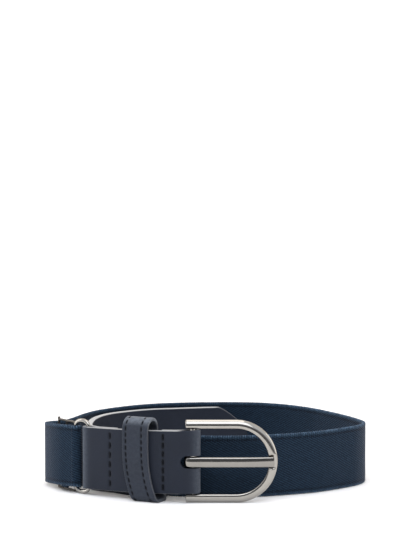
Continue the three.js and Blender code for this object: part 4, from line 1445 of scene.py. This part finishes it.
# %% Surface of the prong
PRONG_THICKNESS = 1.7
PRONG_SQUARENESS = 0.82
PRONG_SHORT_OF_RAIL = 1.6
PRONG_STRAIGHT_SHARE = 0.55
PRONG_BEND_SHARE = 0.85
PRONG_END_SHARE = 0.7
PRONG_DOME = 0.45
PRONG_DOME_POWER = 1.6
PRONG_DOME_FROM = 0.04
PRONG_LOWER_DOME = 0.28
PRONG_ROLL_STRETCH = 1.2
PRONG_ROLL_END = -28.0
PRONG_END_ROUNDING = 0.5
PRONG_POINTS = 150

prong_inner = BAR_DIAMETER / 2 + CLEARANCE
prong_radius = prong_inner + PRONG_THICKNESS / 2
prong_tip = FRAME_REACH - PRONG_SHORT_OF_RAIL
prong_floor = RAIL_THICKNESS / 2 - REST_DEPTH + CLEARANCE
prong_bend_start = prong_tip * PRONG_STRAIGHT_SHARE


def prong_line():
    """Plan line about the bar: from the roll's end right round to the front, straight along,
    and a parabola in to the tip. The roll is a circle made a little squarer, by a power of
    its sine and cosine, because a strip that is rolled so tightly keeps flat sides."""
    roll = arc((0, 0), 1.0, PRONG_ROLL_END, 270, 80)
    roll = prong_radius * np.sign(roll) * np.abs(roll) ** PRONG_SQUARENESS
    roll[:, 0] *= np.where(roll[:, 0] < 0, PRONG_ROLL_STRETCH, 1.0)
    tip_y = -prong_floor - PRONG_THICKNESS * PRONG_END_SHARE / 2
    t = np.linspace(0, 1, 40)[:, None]
    start = np.array([prong_bend_start, -prong_radius])
    pull = np.array([prong_tip * PRONG_BEND_SHARE, -prong_radius])
    end = np.array([prong_tip, tip_y])
    bend = (1 - t)**2 * start + 2 * t * (1 - t) * pull + t**2 * end
    return np.vstack([roll, bend])


prong_path = prong_line()
prong_total = run_of(prong_path)[-1]
prong_close = PRONG_END_ROUNDING * (1 - np.cos(np.linspace(0, math.pi / 2, 6)))
prong_runs = np.concatenate([
    prong_close[:-1],
    np.linspace(PRONG_END_ROUNDING, prong_total - PRONG_END_ROUNDING, PRONG_POINTS),
    (prong_total - prong_close[::-1])[1:],
])
prong_path = at_runs(prong_path, prong_runs)
prong_out = -left_of(aim_of(prong_path))
prong_section = strip_section(PRONG_THICKNESS, PRONG_WIDTH, radius=PRONG_END_ROUNDING, step=0.25)
prong_share = 2 * prong_section[:, 1] / PRONG_WIDTH
dome = PRONG_DOME * np.clip(prong_share - PRONG_DOME_FROM, 0, 1) ** PRONG_DOME_POWER
dome += PRONG_LOWER_DOME * np.clip(-prong_share, 0, 1) ** 2
prong_section[:, 0] -= np.where(prong_section[:, 0] > 0, dome, 0.0)
thinning = 1 - (1 - PRONG_END_SHARE) * smoothstep(
    (prong_path[:, 0] - prong_bend_start) / (prong_tip - prong_bend_start))
end_distance = np.minimum(prong_runs, prong_total - prong_runs)
prong_closing = 1 - np.clip(end_distance / PRONG_END_ROUNDING, 0, 1)
prong_inset = PRONG_END_ROUNDING * (1 - np.sqrt(1 - prong_closing**2))
prong_scale = np.stack([thinning * (1 - prong_inset / (PRONG_THICKNESS / 2)),
                        1 - prong_inset / (PRONG_WIDTH / 2)], axis=-1)[:, None]
prong_grid = swept(
    upright(prong_path + bar_centre, prong_height),
    np.column_stack([prong_out, np.zeros(len(prong_out))]),
    np.broadcast_to([0.0, 0.0, 1.0], (len(prong_out), 3)),
    prong_section * prong_scale,
)
prong_mesh = grid_mesh("prong_strip", prong_grid, prong_runs, around_of(prong_section))
finished(prong_mesh, prong_nickel_painted_dark, "buckle_prong", "nickel", "prong", sharp=60.0)

# %% [markdown]
# ## The ring and the slide
#
# The ring is a loop of round wire: two straight legs and two flat arches. The slide is a thin
# plate with two windows, which shortens or lengthens the belt; only the ends of its bars show
# beyond the elastic. Both are closed loops with a section carried round, and the slide has a
# middle bar as well.

# %% Surface of the ring
RING_END_RISE = 2.4
ring_height = ring_high[2]
ring_straight = (ring_height - WIRE) / 2 - RING_END_RISE
half_turn = np.linspace(0, math.pi, 60)
ring_top = np.column_stack([RING_LEG_SPACING / 2 * np.cos(half_turn),
                            ring_straight + RING_END_RISE * np.sin(half_turn)])
ring_outline = evenly(np.vstack([ring_top, -ring_top, ring_top[:1]]), 0.5)[:-1]
ring_around = np.vstack([ring_outline[-1:], ring_outline, ring_outline[:1]])
ring_out = -left_of(unit(np.gradient(ring_around, axis=0))[1:-1])
ring_flat = np.append(ring_aim, 0.0)
ring_path = (np.append(ring_middle, ring_height / 2) + ring_outline[:, :1] * ring_flat
             + ring_outline[:, 1:] * np.array([0.0, 0.0, 1.0]))
ring_side = ring_out[:, :1] * ring_flat + ring_out[:, 1:] * np.array([0.0, 0.0, 1.0])
ring_depth = np.broadcast_to(np.append(left_of(ring_aim), 0.0), ring_side.shape)
wire_angles = np.linspace(0, math.tau, 20, endpoint=False)
wire_circle = WIRE / 2 * np.column_stack([np.cos(wire_angles), np.sin(wire_angles)])
ring_run = run_of(np.vstack([ring_outline, ring_outline[:1]]))
ring_mesh = grid_mesh("ring_wire", swept(ring_path, ring_side, ring_depth, wire_circle),
                      ring_run, np.arange(len(wire_circle) + 1.0), ring=True)
finished(ring_mesh, nickel, "belt", "nickel", "oval_ring", sharp=60.0)

# %% Surface of the slide
SLIDE_WIRE_HEIGHT = 1.0
SLIDE_WIRE_DEPTH = 1.2
SLIDE_CORNER = 1.1
SLIDE_OVER_STRAP = 0.3
KNOB_DIAMETER = 1.3
KNOB_LENGTH = 2.2
KNOB_POWER = 8
KNOB_END_SHARE = 0.001
SLIDE_KNOB_TOP = box_mm("slide_adjuster")[1][2]
slide_height = STRAP_WIDTH + lift_at_ring + SLIDE_OVER_STRAP + SLIDE_WIRE_HEIGHT


def slide_bar(points, ring):
    """A rounded square section carried along points given as (along the strap, height)."""
    line = evenly(np.vstack([points, points[:1]]) if ring else points, 0.4)
    line = line[:-1] if ring else line
    wrapped = np.vstack([line[-1:], line, line[:1]]) if ring else line
    aims = unit(np.gradient(wrapped, axis=0))
    aims = aims[1:-1] if ring else aims
    out = -left_of(aims)
    flat = np.append(slide_aim, 0.0)
    up = np.array([0.0, 0.0, 1.0])
    path = np.append(slide_centre, 0.0) + line[:, :1] * flat + line[:, 1:] * up
    side = out[:, :1] * flat + out[:, 1:] * up
    depth = np.broadcast_to(np.append(left_of(slide_aim), 0.0), side.shape)
    section = strip_section(SLIDE_WIRE_HEIGHT, SLIDE_WIRE_DEPTH, radius=0.35, step=0.3)
    run = run_of(np.vstack([line, line[:1]]) if ring else line)
    return grid_mesh("slide bar", swept(path, side, depth, section), run, around_of(section),
                     ring=ring)


slide_x = SLIDE_LENGTH / 2 - SLIDE_WIRE_HEIGHT / 2 - SLIDE_CORNER
slide_low = SLIDE_WIRE_HEIGHT / 2 + SLIDE_CORNER
slide_top = slide_height - slide_low
slide_loop = np.vstack([
    arc((slide_x, slide_top), SLIDE_CORNER, 0, 90, 8),
    arc((-slide_x, slide_top), SLIDE_CORNER, 90, 180, 8),
    arc((-slide_x, slide_low), SLIDE_CORNER, 180, 270, 8),
    arc((slide_x, slide_low), SLIDE_CORNER, 270, 360, 8),
])
slide_middle = np.array([(0.0, SLIDE_WIRE_HEIGHT / 2),
                         (0.0, slide_height - SLIDE_WIRE_HEIGHT / 2)])
knob_place = np.append(slide_centre + slide_aim * (SLIDE_LENGTH / 2 - SLIDE_WIRE_HEIGHT / 2), 0.0)


def knob(low, high):
    """A short upright pin with domed ends: a circle that keeps its size for most of the
    height and closes by a high power of the distance from the middle."""
    share = np.sin(np.linspace(-math.pi / 2, math.pi / 2, 13))
    angles = np.linspace(0, math.tau, 16, endpoint=False)
    circle = KNOB_DIAMETER / 2 * np.column_stack([np.cos(angles), np.sin(angles)])
    sections = circle * (1 + KNOB_END_SHARE - np.abs(share) ** KNOB_POWER)[:, None, None]
    heights = low + (high - low) * (share + 1) / 2
    path = knob_place + heights[:, None] * np.array([0.0, 0.0, 1.0])
    tile = (len(path), 1)
    grid = swept(path, np.tile([1.0, 0.0, 0.0], tile), np.tile([0.0, 1.0, 0.0], tile), sections)
    return grid_mesh("knob", grid, heights, np.arange(len(circle) + 1.0))


slide_mesh = joined("slide_plate", [
    slide_bar(slide_loop, True), slide_bar(slide_middle, False),
    knob(0.0, KNOB_LENGTH), knob(SLIDE_KNOB_TOP - KNOB_LENGTH, SLIDE_KNOB_TOP),
])
finished(slide_mesh, slide_metal_painted_dark, "belt", "nickel", "slide_adjuster", sharp=60.0)
